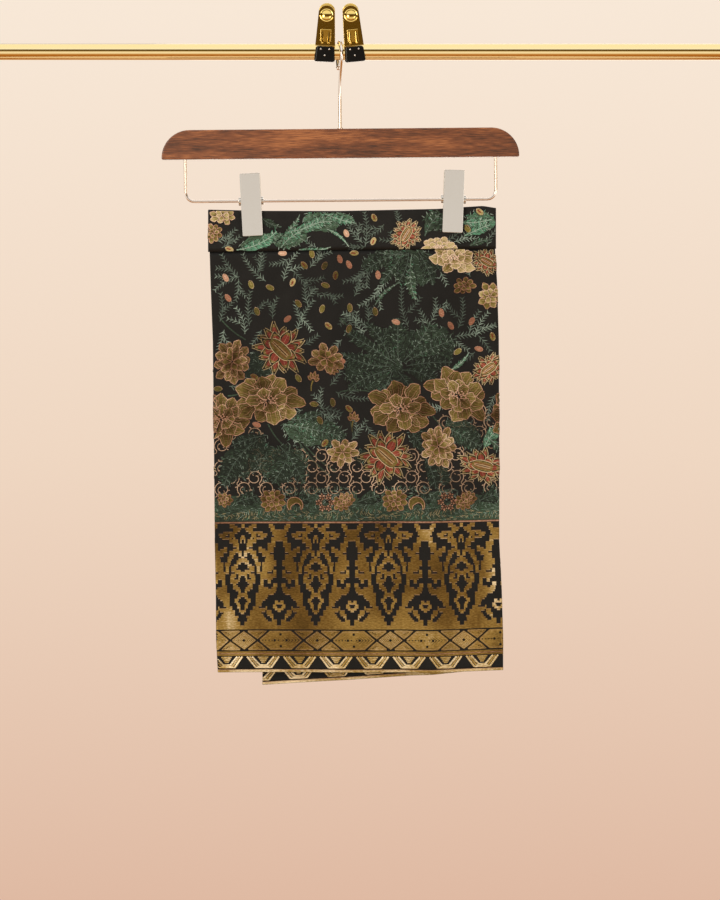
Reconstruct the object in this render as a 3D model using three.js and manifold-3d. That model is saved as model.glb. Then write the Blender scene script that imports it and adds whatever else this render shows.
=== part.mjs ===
// A songket sampin, the short wrap cloth with a sewn waistband, folded back and forth and held by the two
// clips of a wooden hanger. The hanger's hook hangs on a round rail, between two spring clips that stop it.
// Millimetres, +Z up, front towards -Y. The origin is on the rail's axis, above the middle of the hanger.
import * as THREE from "three";
import { mergeVertices } from "three/addons/utils/BufferGeometryUtils.js";
import Module from "manifold-3d";

const wasm = await Module();
wasm.setup();

const GAP = 0.3;
const SEAM_GAP = 0.34;
const DEGREE = Math.PI / 180;

// Rail
const RAIL_RADIUS = 10;
const RAIL_LEFT = -425;
const RAIL_RIGHT = 475;

// Hanger
const HANGER_TILT = -0.5 * DEGREE;
const BAR_LENGTH = 440;
const BAR_HEIGHT = 36;
const BAR_DEPTH = 13;
const BAR_TOP = -94.8;
const BAR_SHOULDER = 35;
const BAR_CHAMFER = 1.5;
const HOOK_WIRE = 2;
const HOOK_BEND = 17.3;
const HOOK_SWIVEL = 9 * DEGREE;
const HOOK_TIP_BALL = 2.9;
const CLIP_WIRE = 1.9;
const CLIP_WIRE_HALF_SPAN = 191;
const CLIP_WIRE_LEVEL = -182.6;
const CLIP_WIRE_CORNER = 11;

// Hanger clips
const PLATE_WIDTH = 25;
const PLATE_LENGTH = 77;
const PLATE_SKIN = 1.2;
const PLATE_DEPTH = 3;
const PLATE_CORNER = 1;
const PLATE_LEAN = 4.5 * DEGREE;
const CLIP_TURN = 2.4 * DEGREE;
const BARREL_RADIUS = 5.2;
const BARREL_BORE = 2.95;
const BARREL_LENGTH = 31;
const CLIPS = [
  { side: "left", x: -110.4, plateBottom: -225.6, turn: -CLIP_TURN },
  { side: "right", x: 138.7, plateBottom: -223.6, turn: CLIP_TURN },
];

// Spring clips that stop the hook on the rail
const JAW_WIDTH = 26;
const JAW_HEIGHT = 19;
const JAW_DEPTH = 5.5;
const JAW_TOP = 7;
const LEVER_HEIGHT = 52;
const LEVER_TOP_HALF = 9.5;
const LEVER_FOOT_HALF = 12.2;
const LEVER_CORNER = 6;
const LEVER_SKIN = 2;
const LEVER_LEAN = 9 * DEGREE;
const BACK_LEVER_EXTRA = 2;
const PIN_RADIUS = 3;
const PIN_LENGTH = 17;
const PIN_RISE = 22;
const EAR_SKIN = 2;
const EAR_HEIGHT = 8;
const EAR_PLACE = 7;
const BUTTON_RADIUS = 7;
const BUTTON_DOME = 2.6;
const BUTTON_RISE = 40;
const STOPS = [
  { side: "left", x: -17.9, turn: 2.7 * DEGREE },
  { side: "right", x: 18.4, turn: -5.5 * DEGREE },
];

// Cloth
const BODY_SKIN = 1;
const BAND_SKIN = 1.8;
const LAYER_PITCH_TOP = 2.4;
const LAYER_PITCH_HEM = 4.2;
const FRONT_DEPTH = -1.2;
const BODY_ROWS = 14;
const BAND_ROWS = 4;
const TURN_STEPS = 6;
const BAND_LEFT = -161;
const BAND_RIGHT = 191.8;
const INNER_END = 0.66;
const RETURN_END = 0.34;
const TUCK_TOP = -91;
const TUCK_HEM = -94.8;
const BACK_STEP = { from: 0.68, to: 0.78 };
const SAG = { perWidth: 22.5, held: 0.87 };

// Outer edges of the folded body, by drop below the seam.
const EDGES = [
  { drop: 0, left: -159.6, right: 191.2 },
  { drop: 45, left: -158.2, right: 193.9 },
  { drop: 110, left: -155.7, right: 195.8 },
  { drop: 220, left: -154.5, right: 196.3 },
  { drop: 360, left: -153.2, right: 196.4 },
  { drop: 420, left: -152.0, right: 199.5 },
  { drop: 480, left: -151.6, right: 201.2 },
  { drop: 519, left: -149.5, right: 201.2 },
];

// Heights across the front, by fraction of its width from the left fold.
const BAND_TOP = [
  { across: 0, z: -194.1 },
  { across: 0.19, z: -195.6 },
  { across: 0.46, z: -195.7 },
  { across: 0.8, z: -193.2 },
  { across: 0.89, z: -191.0 },
  { across: 0.96, z: -189.5 },
  { across: 1, z: -191.8 },
];
const SEAM = [
  { across: 0, z: -246.2 },
  { across: 0.5, z: -243.6 },
  { across: 1, z: -242.2 },
];
const HEM = [
  { across: 0, z: -763.7 },
  { across: 0.14, z: -763.1 },
  { across: 0.46, z: -764.1 },
  { across: 0.64, z: -763.6 },
  { across: 0.75, z: -764.3 },
  { across: 1, z: -760.9 },
];

// Soft standing folds: place across the front, drift towards the right at the hem, width and rise there.
const WAVES = [
  { across: 0.11, drift: 0.03, width: 0.1, rise: 3.4 },
  { across: 0.36, drift: -0.04, width: 0.15, rise: -2.6 },
  { across: 0.58, drift: 0.03, width: 0.09, rise: 1.6 },
  { across: 0.75, drift: 0.02, width: 0.12, rise: 3.2 },
  { across: 0.93, drift: 0.01, width: 0.07, rise: -1.8 },
];

const FINISH = {
  songket: { color: 0x2b2620, metalness: 0, roughness: 0.6 },
  wood: { color: 0x5a3324, metalness: 0, roughness: 0.45 },
  nickel: { color: 0xc9bdaa, metalness: 1, roughness: 0.35 },
  brass: { color: 0xc89a4a, metalness: 1, roughness: 0.2 },
  rubber: { color: 0x1c1b1d, metalness: 0, roughness: 0.5 },
};

function piece(name, geometry, finish) {
  const mesh = new THREE.Mesh(geometry, new THREE.MeshStandardMaterial(FINISH[finish]));
  mesh.name = name;
  return mesh;
}

function mix(from, to, part) {
  return from + (to - from) * part;
}

function smooth(from, to, value) {
  return THREE.MathUtils.smoothstep(value, from, to);
}

// Reads one column of a table at a place between its rows.
function along(table, key, place, column) {
  const last = table.length - 1;
  let row = 0;
  while (row < last - 1 && table[row + 1][key] < place) row += 1;
  const span = table[row + 1][key] - table[row][key];
  const part = THREE.MathUtils.clamp((place - table[row][key]) / span, 0, 1);
  return mix(table[row][column], table[row + 1][column], part);
}

function indexedGeometry(points, triangles) {
  const geometry = new THREE.BufferGeometry();
  const flat = points.flatMap((point) => [point.x, point.y, point.z]);
  geometry.setAttribute("position", new THREE.Float32BufferAttribute(flat, 3));
  geometry.setIndex(triangles);
  geometry.computeVertexNormals();
  return geometry;
}

// A round wire along a path, with flat ends.
function wire(path, radius, steps) {
  const section = new THREE.Shape();
  section.absarc(0, 0, radius, 0, 2 * Math.PI);
  return new THREE.ExtrudeGeometry(section, { steps, extrudePath: path, curveSegments: 6 });
}

// Turns the triangles so that the solid's faces look outwards.
function outwardFaces(points, triangles) {
  let volume = 0;
  for (let corner = 0; corner < triangles.length; corner += 3) {
    const [a, b, c] = triangles.slice(corner, corner + 3).map((index) => points[index]);
    volume += a.dot(b.clone().cross(c));
  }
  if (volume > 0) return indexedGeometry(points, triangles);
  const turned = [];
  for (let corner = 0; corner < triangles.length; corner += 3) {
    turned.push(triangles[corner], triangles[corner + 2], triangles[corner + 1]);
  }
  return indexedGeometry(points, turned);
}

// A sheet of even thickness about a grid of middle points, closed by a rim on its four sides.
function sheet(rows, thickness) {
  const points = [];
  const triangles = [];
  const columns = rows[0].length;
  const half = thickness / 2;
  for (const row of rows) {
    row.forEach((middle, column) => {
      const before = row[Math.max(column - 1, 0)];
      const after = row[Math.min(column + 1, columns - 1)];
      const normal = new THREE.Vector3(after.y - before.y, before.x - after.x, 0).normalize();
      points.push(middle.clone().addScaledVector(normal, half));
      points.push(middle.clone().addScaledVector(normal, -half));
    });
  }
  const at = (row, column, side) => 2 * (row * columns + column) + side;
  const quad = (a, b, c, d) => triangles.push(a, b, c, a, c, d);
  const lastRow = rows.length - 1;
  const end = columns - 1;
  for (let row = 0; row < lastRow; row += 1) {
    for (let column = 0; column < end; column += 1) {
      quad(at(row, column, 0), at(row, column + 1, 0), at(row + 1, column + 1, 0), at(row + 1, column, 0));
      quad(at(row, column, 1), at(row + 1, column, 1), at(row + 1, column + 1, 1), at(row, column + 1, 1));
    }
    quad(at(row, 0, 0), at(row + 1, 0, 0), at(row + 1, 0, 1), at(row, 0, 1));
    quad(at(row, end, 0), at(row, end, 1), at(row + 1, end, 1), at(row + 1, end, 0));
  }
  for (let column = 0; column < end; column += 1) {
    const next = column + 1;
    quad(at(0, column, 0), at(0, column, 1), at(0, next, 1), at(0, next, 0));
    quad(at(lastRow, column, 0), at(lastRow, next, 0), at(lastRow, next, 1), at(lastRow, column, 1));
  }
  return outwardFaces(points, triangles);
}

function wave(across, fall) {
  const growth = fall ** 1.2;
  let depth = 0;
  for (const fold of WAVES) {
    const offset = (across - fold.across - fold.drift * fall) / fold.width;
    depth -= fold.rise * growth * Math.exp(-offset * offset);
  }
  return depth;
}

function sag(across) {
  return SAG.perWidth * Math.max(SAG.held - across, 0);
}

function layerDepth(layer, across, pitch) {
  if (layer === "front") return 0;
  if (layer === "return") return pitch;
  if (layer === "inner") return 2 * pitch;
  return pitch * (3 - 2 * smooth(BACK_STEP.from, BACK_STEP.to, across));
}

// The folded cloth in plan at one height, from the inner free end round to the short return behind the left.
// Each point keeps its place across the front and the sag of its layer.
function foldedSection(left, right, fall) {
  const pitch = mix(LAYER_PITCH_TOP, LAYER_PITCH_HEM, fall);
  const bend = pitch / 2;
  const span = right - left - 2 * bend;
  const xAt = (across) => left + bend + span * across;
  const tuck = (mix(TUCK_TOP, TUCK_HEM, fall) - left) / span;
  const points = [];
  const depthOf = (layer, across) => FRONT_DEPTH + layerDepth(layer, across, pitch) + wave(across, fall);
  const sagOf = (layer, across) => (layer === "inner" || layer === "outer" ? sag(across) : 0);
  const run = (layer, from, to, steps) => {
    for (let step = 0; step <= steps; step += 1) {
      const across = mix(from, to, step / steps);
      points.push({ x: xAt(across), y: depthOf(layer, across), across, sag: sagOf(layer, across) });
    }
  };
  const turn = (across, fromLayer, toLayer, side) => {
    const start = depthOf(fromLayer, across);
    const half = (depthOf(toLayer, across) - start) / 2;
    for (let step = 1; step < TURN_STEPS; step += 1) {
      const angle = (Math.PI * step) / TURN_STEPS;
      const x = xAt(across) + side * bend * Math.sin(angle);
      const y = start + half * (1 - Math.cos(angle));
      points.push({ x, y, across, sag: sagOf(fromLayer, across) });
    }
  };
  run("inner", INNER_END, tuck, 18);
  turn(tuck, "inner", "outer", -1);
  run("outer", tuck, 1, 28);
  turn(1, "outer", "front", 1);
  run("front", 1, 0, 34);
  turn(0, "front", "return", -1);
  run("return", 0, RETURN_END, 11);
  return points;
}

function bodyGeometry() {
  const rows = [];
  const depthOfBody = EDGES[EDGES.length - 1].drop;
  for (let row = 0; row < BODY_ROWS; row += 1) {
    const fall = row / (BODY_ROWS - 1);
    const left = along(EDGES, "drop", fall * depthOfBody, "left");
    const right = along(EDGES, "drop", fall * depthOfBody, "right");
    rows.push(foldedSection(left, right, fall).map((point) => {
      const top = along(SEAM, "across", point.across, "z") - SEAM_GAP / 2;
      const bottom = along(HEM, "across", point.across, "z");
      return new THREE.Vector3(point.x, point.y, mix(top, bottom, fall) - point.sag);
    }));
  }
  return sheet(rows, BODY_SKIN);
}

function bandGeometry() {
  const rows = [];
  for (let row = 0; row < BAND_ROWS; row += 1) {
    const part = row / (BAND_ROWS - 1);
    rows.push(foldedSection(BAND_LEFT, BAND_RIGHT, 0).map((point) => {
      const top = along(BAND_TOP, "across", point.across, "z");
      const bottom = along(SEAM, "across", point.across, "z") + SEAM_GAP / 2;
      return new THREE.Vector3(point.x, point.y, mix(top, bottom, part) - point.sag);
    }));
  }
  return sheet(rows, BAND_SKIN);
}

function railGeometry() {
  const geometry = new THREE.CylinderGeometry(RAIL_RADIUS, RAIL_RADIUS, RAIL_RIGHT - RAIL_LEFT, 48);
  geometry.rotateZ(Math.PI / 2);
  geometry.translate((RAIL_LEFT + RAIL_RIGHT) / 2, 0, 0);
  return geometry;
}

// The bar's face, drawn in from the chamfer, then given its depth.
function barGeometry() {
  const half = BAR_LENGTH / 2 - BAR_CHAMFER;
  const top = -BAR_CHAMFER;
  const bottom = BAR_CHAMFER - BAR_HEIGHT;
  const face = new THREE.Shape();
  face.moveTo(-half, bottom);
  face.lineTo(half, bottom);
  face.absellipse(half - BAR_SHOULDER, bottom, BAR_SHOULDER, top - bottom, 0, Math.PI / 2);
  face.absellipse(BAR_SHOULDER - half, bottom, BAR_SHOULDER, top - bottom, Math.PI / 2, Math.PI);
  const geometry = new THREE.ExtrudeGeometry(face, {
    depth: BAR_DEPTH - 2 * BAR_CHAMFER,
    bevelThickness: BAR_CHAMFER,
    bevelSize: BAR_CHAMFER,
    bevelSegments: 2,
    curveSegments: 14,
  });
  geometry.translate(0, 0, BAR_CHAMFER - BAR_DEPTH / 2);
  geometry.rotateX(Math.PI / 2);
  geometry.translate(0, 0, BAR_TOP);
  return geometry;
}

// Up the shank, out to the front of the rail, over it and down behind.
function hookPath() {
  const middle = RAIL_RADIUS + GAP + HOOK_WIRE - HOOK_BEND;
  const neck = [[0, BAR_TOP + GAP], [0, -76], [0, -60], [-0.3, -52], [-1.4, -42], [-6.3, -28]];
  const path = neck.map(([y, z]) => new THREE.Vector3(0, y, z));
  const turns = 22;
  for (let turn = 0; turn <= turns; turn += 1) {
    const angle = mix(212, -52, turn / turns) * DEGREE;
    path.push(new THREE.Vector3(0, HOOK_BEND * Math.cos(angle), middle + HOOK_BEND * Math.sin(angle)));
  }
  return new THREE.CatmullRomCurve3(path);
}

function solidOf(geometry) {
  geometry.deleteAttribute("normal");
  geometry.deleteAttribute("uv");
  const merged = mergeVertices(geometry, 1e-4);
  return new wasm.Manifold(new wasm.Mesh({
    numProp: 3,
    vertProperties: new Float32Array(merged.getAttribute("position").array),
    triVerts: new Uint32Array(merged.getIndex().array),
  }));
}

function geometryOf(solid) {
  const mesh = solid.getMesh();
  const geometry = new THREE.BufferGeometry();
  geometry.setAttribute("position", new THREE.BufferAttribute(mesh.vertProperties, mesh.numProp));
  geometry.setIndex(new THREE.BufferAttribute(mesh.triVerts, 1));
  geometry.computeVertexNormals();
  return geometry;
}

function hookGeometry() {
  const path = hookPath();
  const tip = path.getPoint(1);
  const ball = new THREE.SphereGeometry(HOOK_TIP_BALL, 16, 10);
  ball.translate(tip.x, tip.y, tip.z);
  const geometry = geometryOf(solidOf(wire(path, HOOK_WIRE, 60)).add(solidOf(ball)));
  geometry.rotateZ(HOOK_SWIVEL);
  return geometry;
}

// Down from the bar, round one corner, along under the bar, round the other and up again.
function clipWirePath() {
  const top = BAR_TOP - BAR_HEIGHT - GAP;
  const cornerLevel = CLIP_WIRE_LEVEL + CLIP_WIRE_CORNER;
  const cornerPlace = CLIP_WIRE_HALF_SPAN - CLIP_WIRE_CORNER;
  const at = (x, z) => new THREE.Vector3(x, 0, z);
  const corner = (side) => new THREE.QuadraticBezierCurve3(
    at(side * CLIP_WIRE_HALF_SPAN, cornerLevel),
    at(side * CLIP_WIRE_HALF_SPAN, CLIP_WIRE_LEVEL),
    at(side * cornerPlace, CLIP_WIRE_LEVEL),
  );
  const upright = (side) => new THREE.LineCurve3(
    at(side * CLIP_WIRE_HALF_SPAN, top),
    at(side * CLIP_WIRE_HALF_SPAN, cornerLevel),
  );
  const rightCorner = corner(1);
  const rightUpright = upright(1);
  const path = new THREE.CurvePath();
  path.add(upright(-1));
  path.add(corner(-1));
  path.add(new THREE.LineCurve3(at(-cornerPlace, CLIP_WIRE_LEVEL), at(cornerPlace, CLIP_WIRE_LEVEL)));
  path.add(new THREE.QuadraticBezierCurve3(rightCorner.v2, rightCorner.v1, rightCorner.v0));
  path.add(new THREE.LineCurve3(rightUpright.v2, rightUpright.v1));
  return path;
}

// A pressed plate with both long edges turned back. It stands on its foot, with the turned edges at y = 0.
function plateGeometry() {
  const half = PLATE_WIDTH / 2;
  const inner = half - PLATE_SKIN;
  const floor = PLATE_SKIN - PLATE_DEPTH;
  const outline = new THREE.Shape();
  outline.moveTo(-half, 0);
  outline.lineTo(-half, PLATE_CORNER - PLATE_DEPTH);
  outline.quadraticCurveTo(-half, -PLATE_DEPTH, PLATE_CORNER - half, -PLATE_DEPTH);
  outline.lineTo(half - PLATE_CORNER, -PLATE_DEPTH);
  outline.quadraticCurveTo(half, -PLATE_DEPTH, half, PLATE_CORNER - PLATE_DEPTH);
  outline.lineTo(half, 0);
  outline.lineTo(inner, 0);
  outline.lineTo(inner, floor);
  outline.lineTo(-inner, floor);
  outline.lineTo(-inner, 0);
  return new THREE.ExtrudeGeometry(outline, { depth: PLATE_LENGTH, bevelEnabled: false, curveSegments: 3 });
}

function barrelGeometry() {
  const half = BARREL_LENGTH / 2;
  const profile = [
    new THREE.Vector2(BARREL_BORE, -half),
    new THREE.Vector2(BARREL_RADIUS, -half),
    new THREE.Vector2(BARREL_RADIUS, half),
    new THREE.Vector2(BARREL_BORE, half),
    new THREE.Vector2(BARREL_BORE, -half),
  ];
  const geometry = new THREE.LatheGeometry(profile, 24);
  geometry.rotateZ(Math.PI / 2);
  return geometry;
}

function hangerClip(clip) {
  const bandFace = BAND_SKIN / 2 - FRONT_DEPTH + GAP;
  const foot = clip.plateBottom - CLIP_WIRE_LEVEL;
  const group = new THREE.Group();
  group.position.set(clip.x, 0, CLIP_WIRE_LEVEL);
  group.rotation.y = clip.turn;
  const front = piece(`clip_${clip.side}_front`, plateGeometry(), "nickel");
  front.position.set(0, -bandFace, foot);
  front.rotation.x = PLATE_LEAN;
  const back = piece(`clip_${clip.side}_back`, plateGeometry(), "nickel");
  back.position.set(0, -bandFace, foot);
  back.rotation.x = PLATE_LEAN;
  const behind = new THREE.Group();
  behind.rotation.z = Math.PI;
  behind.add(back);
  group.add(front, behind, piece(`clip_${clip.side}_barrel`, barrelGeometry(), "nickel"));
  return group;
}

// A rubber jaw with rounded upright corners. Its gripping face is at y = 0.
function jawGeometry() {
  const half = JAW_WIDTH / 2;
  const round = 2;
  const outline = new THREE.Shape();
  outline.moveTo(-half, 0);
  outline.lineTo(-half, round - JAW_DEPTH);
  outline.quadraticCurveTo(-half, -JAW_DEPTH, round - half, -JAW_DEPTH);
  outline.lineTo(half - round, -JAW_DEPTH);
  outline.quadraticCurveTo(half, -JAW_DEPTH, half, round - JAW_DEPTH);
  outline.lineTo(half, 0);
  const geometry = new THREE.ExtrudeGeometry(outline, {
    depth: JAW_HEIGHT,
    bevelEnabled: false,
    curveSegments: 4,
  });
  geometry.translate(0, 0, JAW_TOP - JAW_HEIGHT);
  return geometry;
}

// A tapered lever with a round head. It stands on its foot, with its inner face at y = 0.
function leverGeometry(height) {
  const outline = new THREE.Shape();
  outline.moveTo(-LEVER_FOOT_HALF, 0);
  outline.lineTo(LEVER_FOOT_HALF, 0);
  outline.lineTo(LEVER_TOP_HALF, height - LEVER_CORNER);
  outline.quadraticCurveTo(LEVER_TOP_HALF, height, LEVER_TOP_HALF - LEVER_CORNER, height);
  outline.lineTo(LEVER_CORNER - LEVER_TOP_HALF, height);
  outline.quadraticCurveTo(-LEVER_TOP_HALF, height, -LEVER_TOP_HALF, height - LEVER_CORNER);
  const geometry = new THREE.ExtrudeGeometry(outline, {
    depth: LEVER_SKIN,
    bevelEnabled: false,
    curveSegments: 6,
  });
  geometry.rotateX(Math.PI / 2);
  return earedLever(geometry);
}

function leverDepth() {
  return RAIL_RADIUS + GAP + JAW_DEPTH / 2 - LEVER_SKIN / 2;
}

// Two ears on the lever's inner face reach in to the pin that both levers turn on.
function earedLever(lever) {
  const root = LEVER_SKIN / 2;
  const pinDepth = leverDepth() * Math.cos(LEVER_LEAN) - PIN_RISE * Math.sin(LEVER_LEAN);
  const pinRise = leverDepth() * Math.sin(LEVER_LEAN) + PIN_RISE * Math.cos(LEVER_LEAN);
  const reach = pinDepth - PIN_RADIUS - GAP;
  let solid = solidOf(lever);
  for (const side of [-1, 1]) {
    const ear = new THREE.BoxGeometry(EAR_SKIN, reach + root, EAR_HEIGHT);
    ear.translate(side * EAR_PLACE, (reach - root) / 2, pinRise);
    solid = solid.add(solidOf(ear));
  }
  return geometryOf(solid);
}

function buttonGeometry() {
  const profile = [new THREE.Vector2(0, 0), new THREE.Vector2(BUTTON_RADIUS, 0)];
  const steps = 5;
  for (let step = 1; step <= steps; step += 1) {
    const angle = (Math.PI / 2) * (step / steps);
    profile.push(new THREE.Vector2(BUTTON_RADIUS * Math.cos(angle), BUTTON_DOME * Math.sin(angle)));
  }
  profile[profile.length - 1].x = 0;
  const geometry = new THREE.LatheGeometry(profile, 24);
  geometry.rotateX(Math.PI);
  return geometry;
}

function stopClip(stop) {
  const grip = RAIL_RADIUS + GAP;
  const leverFoot = JAW_TOP + GAP;
  const group = new THREE.Group();
  group.position.x = stop.x;
  group.rotation.y = stop.turn;
  for (const face of ["front", "back"]) {
    const half = new THREE.Group();
    half.rotation.z = face === "front" ? 0 : Math.PI;
    const jaw = piece(`stop_${stop.side}_${face}_jaw`, jawGeometry(), "rubber");
    jaw.position.y = -grip;
    const height = face === "front" ? LEVER_HEIGHT : LEVER_HEIGHT + BACK_LEVER_EXTRA;
    const lever = piece(`stop_${stop.side}_${face}_lever`, leverGeometry(height), "brass");
    lever.position.set(0, -leverDepth(), leverFoot);
    lever.rotation.x = -LEVER_LEAN;
    half.add(jaw, lever);
    group.add(half);
  }
  const button = piece(`stop_${stop.side}_button`, buttonGeometry(), "brass");
  const leverFace = LEVER_SKIN + GAP;
  const lean = BUTTON_RISE * Math.sin(LEVER_LEAN) - leverFace * Math.cos(LEVER_LEAN);
  const faceDepth = lean - leverDepth();
  const faceRise = leverFoot + BUTTON_RISE * Math.cos(LEVER_LEAN) + leverFace * Math.sin(LEVER_LEAN);
  button.position.set(0, faceDepth, faceRise);
  button.rotation.x = -LEVER_LEAN;
  const pinGeometry = new THREE.CylinderGeometry(PIN_RADIUS, PIN_RADIUS, PIN_LENGTH, 20);
  pinGeometry.rotateZ(Math.PI / 2);
  const pin = piece(`stop_${stop.side}_pin`, pinGeometry, "brass");
  pin.position.z = leverFoot + PIN_RISE;
  group.add(button, pin);
  return group;
}

const songketOnHanger = new THREE.Group();

const hanger = new THREE.Group();
hanger.rotation.y = HANGER_TILT;
hanger.add(piece("hanger_bar", barGeometry(), "wood"));
hanger.add(piece("hanger_hook", hookGeometry(), "brass"));
hanger.add(piece("clip_wire", wire(clipWirePath(), CLIP_WIRE, 110), "brass"));
for (const clip of CLIPS) hanger.add(hangerClip(clip));

songketOnHanger.add(piece("sampin_body", bodyGeometry(), "songket"));
songketOnHanger.add(piece("waistband", bandGeometry(), "songket"));
songketOnHanger.add(hanger);
songketOnHanger.add(piece("rail", railGeometry(), "brass"));
for (const stop of STOPS) songketOnHanger.add(stopClip(stop));

export default songketOnHanger;
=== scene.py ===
import math
import bpy
import numpy as np
from mathutils import Matrix, Vector


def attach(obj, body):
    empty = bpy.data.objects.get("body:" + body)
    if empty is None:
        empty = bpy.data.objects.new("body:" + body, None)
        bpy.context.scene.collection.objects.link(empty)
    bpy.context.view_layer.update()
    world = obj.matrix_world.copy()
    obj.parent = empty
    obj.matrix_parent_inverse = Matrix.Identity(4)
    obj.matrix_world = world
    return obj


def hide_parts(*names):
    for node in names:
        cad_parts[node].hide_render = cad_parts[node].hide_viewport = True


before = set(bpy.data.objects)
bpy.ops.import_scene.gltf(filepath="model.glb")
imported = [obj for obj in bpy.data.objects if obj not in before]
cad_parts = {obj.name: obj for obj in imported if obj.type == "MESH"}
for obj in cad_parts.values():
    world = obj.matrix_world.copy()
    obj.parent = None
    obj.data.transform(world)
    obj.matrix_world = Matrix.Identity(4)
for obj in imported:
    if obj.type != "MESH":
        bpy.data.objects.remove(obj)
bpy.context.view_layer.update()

# A songket sampin folded back and forth, held by the clips of a wooden hanger that hangs on a brass rail.
# Sizes are in millimetres, and a piece becomes metres when its mesh is placed.
MM = 0.001
SEED = 7

# The folded cloth, as in the solids
BODY_SKIN = 0.7
BAND_SKIN = 0.5
BAND_WALL_SPACING = 1.3
LAYER_PITCH_TOP = 2.4
LAYER_PITCH_HEM = 4.2
FRONT_DEPTH = -1.2
BAND_LEFT = -161.0
BAND_RIGHT = 191.8
INNER_END = 0.66
RETURN_END = 0.34
TUCK_TOP = -91.0
TUCK_HEM = -94.8
TUCK_PLACE = 0.18
BACK_STEP = (0.68, 0.78)
SAG_PER_WIDTH = 22.5
SAG_HELD = 0.87
SEAM_GAP = 0.08
FRONT_WIDTH = 348.0
BODY_DROP = 519.0
BAND_HEIGHT = 51.0
TURN_LENGTH = 5.2
PATTERN_REPEAT = 360.0
BODY_ROWS = 76
BAND_WALL_ROWS = 11
BAND_FOLD_ROWS = 8
ROW_HAIR = 1e-6
# Threads stop this far from the cloth's edges
BODY_MARGIN_TOP = 0.4
BODY_MARGIN_HEM = 0.3
BAND_MARGIN_TOP = 0.5
BAND_MARGIN_SEAM = 0.4
END_MARGIN = 0.4

EDGES = np.array((
    # drop below the seam, left fold, right fold
    (0, -159.6, 191.2),
    (45, -158.2, 193.9),
    (110, -155.7, 195.8),
    (220, -154.5, 196.3),
    (360, -153.2, 196.4),
    (420, -152.0, 199.5),
    (480, -151.6, 201.2),
    (519, -149.5, 201.2),
))
BAND_TOP = np.array((
    # place across the front, height
    (0, -194.1),
    (0.19, -195.6),
    (0.46, -195.7),
    (0.8, -193.2),
    (0.89, -191.0),
    (0.96, -189.5),
    (1, -191.8),
))
SEAM = np.array((
    # place across the front, height
    (0, -246.2),
    (0.5, -243.6),
    (1, -242.2),
))
HEM = np.array((
    # place across the front, height
    (0, -763.7),
    (0.14, -763.1),
    (0.46, -764.1),
    (0.64, -763.6),
    (0.75, -764.3),
    (1, -760.9),
))
WAVES = (
    # place across the front, drift at the hem, width, rise at the hem
    (0.11, 0.03, 0.1, 3.4),
    (0.36, -0.04, 0.15, -2.6),
    (0.58, 0.03, 0.09, 1.6),
    (0.75, 0.02, 0.12, 3.2),
    (0.93, 0.01, 0.07, -1.8),
)
CREASES = (
    # across and drop of the upper end, across and drop of the lower end, half width, rise to the front
    (46, 14, 92, 128, 15, 0.9),
    (84, 20, 74, 150, 10, -0.6),
    (150, 18, 128, 170, 17, 0.8),
    (276, 16, 250, 140, 14, 0.8),
    (300, 30, 326, 190, 12, -0.7),
    (206, 120, 232, 330, 20, 0.7),
    (20, 180, 40, 380, 14, 0.9),
    (34, 352, 62, 470, 11, 0.9),
    (318, 300, 330, 470, 12, 0.8),
    (148, 330, 160, 500, 16, -0.7),
)
RUNS = (
    # layer left, layer reached, flat length, steps
    ("return", "return", RETURN_END * FRONT_WIDTH, 30),
    ("return", "front", TURN_LENGTH, 6),
    ("front", "front", FRONT_WIDTH, 90),
    ("front", "outer", TURN_LENGTH, 6),
    ("outer", "outer", (1 - TUCK_PLACE) * FRONT_WIDTH, 72),
    ("outer", "inner", TURN_LENGTH, 6),
    ("inner", "inner", (INNER_END - TUCK_PLACE) * FRONT_WIDTH, 40),
)
FLAT_START = -(RETURN_END * FRONT_WIDTH + TURN_LENGTH)
FLAT_END = FLAT_START + sum(run[2] for run in RUNS)

# The woven pattern, in flat millimetres: across from the left fold, and drop from the seam
OUTER_END = FRONT_WIDTH + TURN_LENGTH + (1 - TUCK_PLACE) * FRONT_WIDTH
RETURN_SHOWS = -66.0
HEM_SHOWS = 492.5
SCROLL_TOP = 190.0
SCROLL_BOTTOM = 293.0
SCROLL_ROW = 13.4
SCROLL_PITCH = 27.0
SCROLL_REACH = 8.0
THICKET_PITCH = 3.0
GRASS = (291.0, 333.0)
ROW_REPEAT = 150.6
TOP_LINE = (333.6, 335.4)
BORDER_REPEAT = 90.0
BORDER_START = 33.2
BORDER_LEAN = 0.025
LOWER_SHIFT = 1.9
STEP_EASE = 0.36
CHART_TOP = 336.3
CHART_FOOT = 466.2
DIAMOND_BAND = (467.4, 492.1)
GOLD_STRIPE = (493.3, 498.8)
CUP_BAND = (499.5, 514.2)
HEM_STRIPE = (515.5, 518.8)
PLATE_PRINTS = (
    # first and last place across the band that a clip's plate covers, and its foot
    (34.5, 63.5, 35.0),
    (281.5, 311.5, 35.0),
    (389.5, 419.5, 35.0),
)
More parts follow.
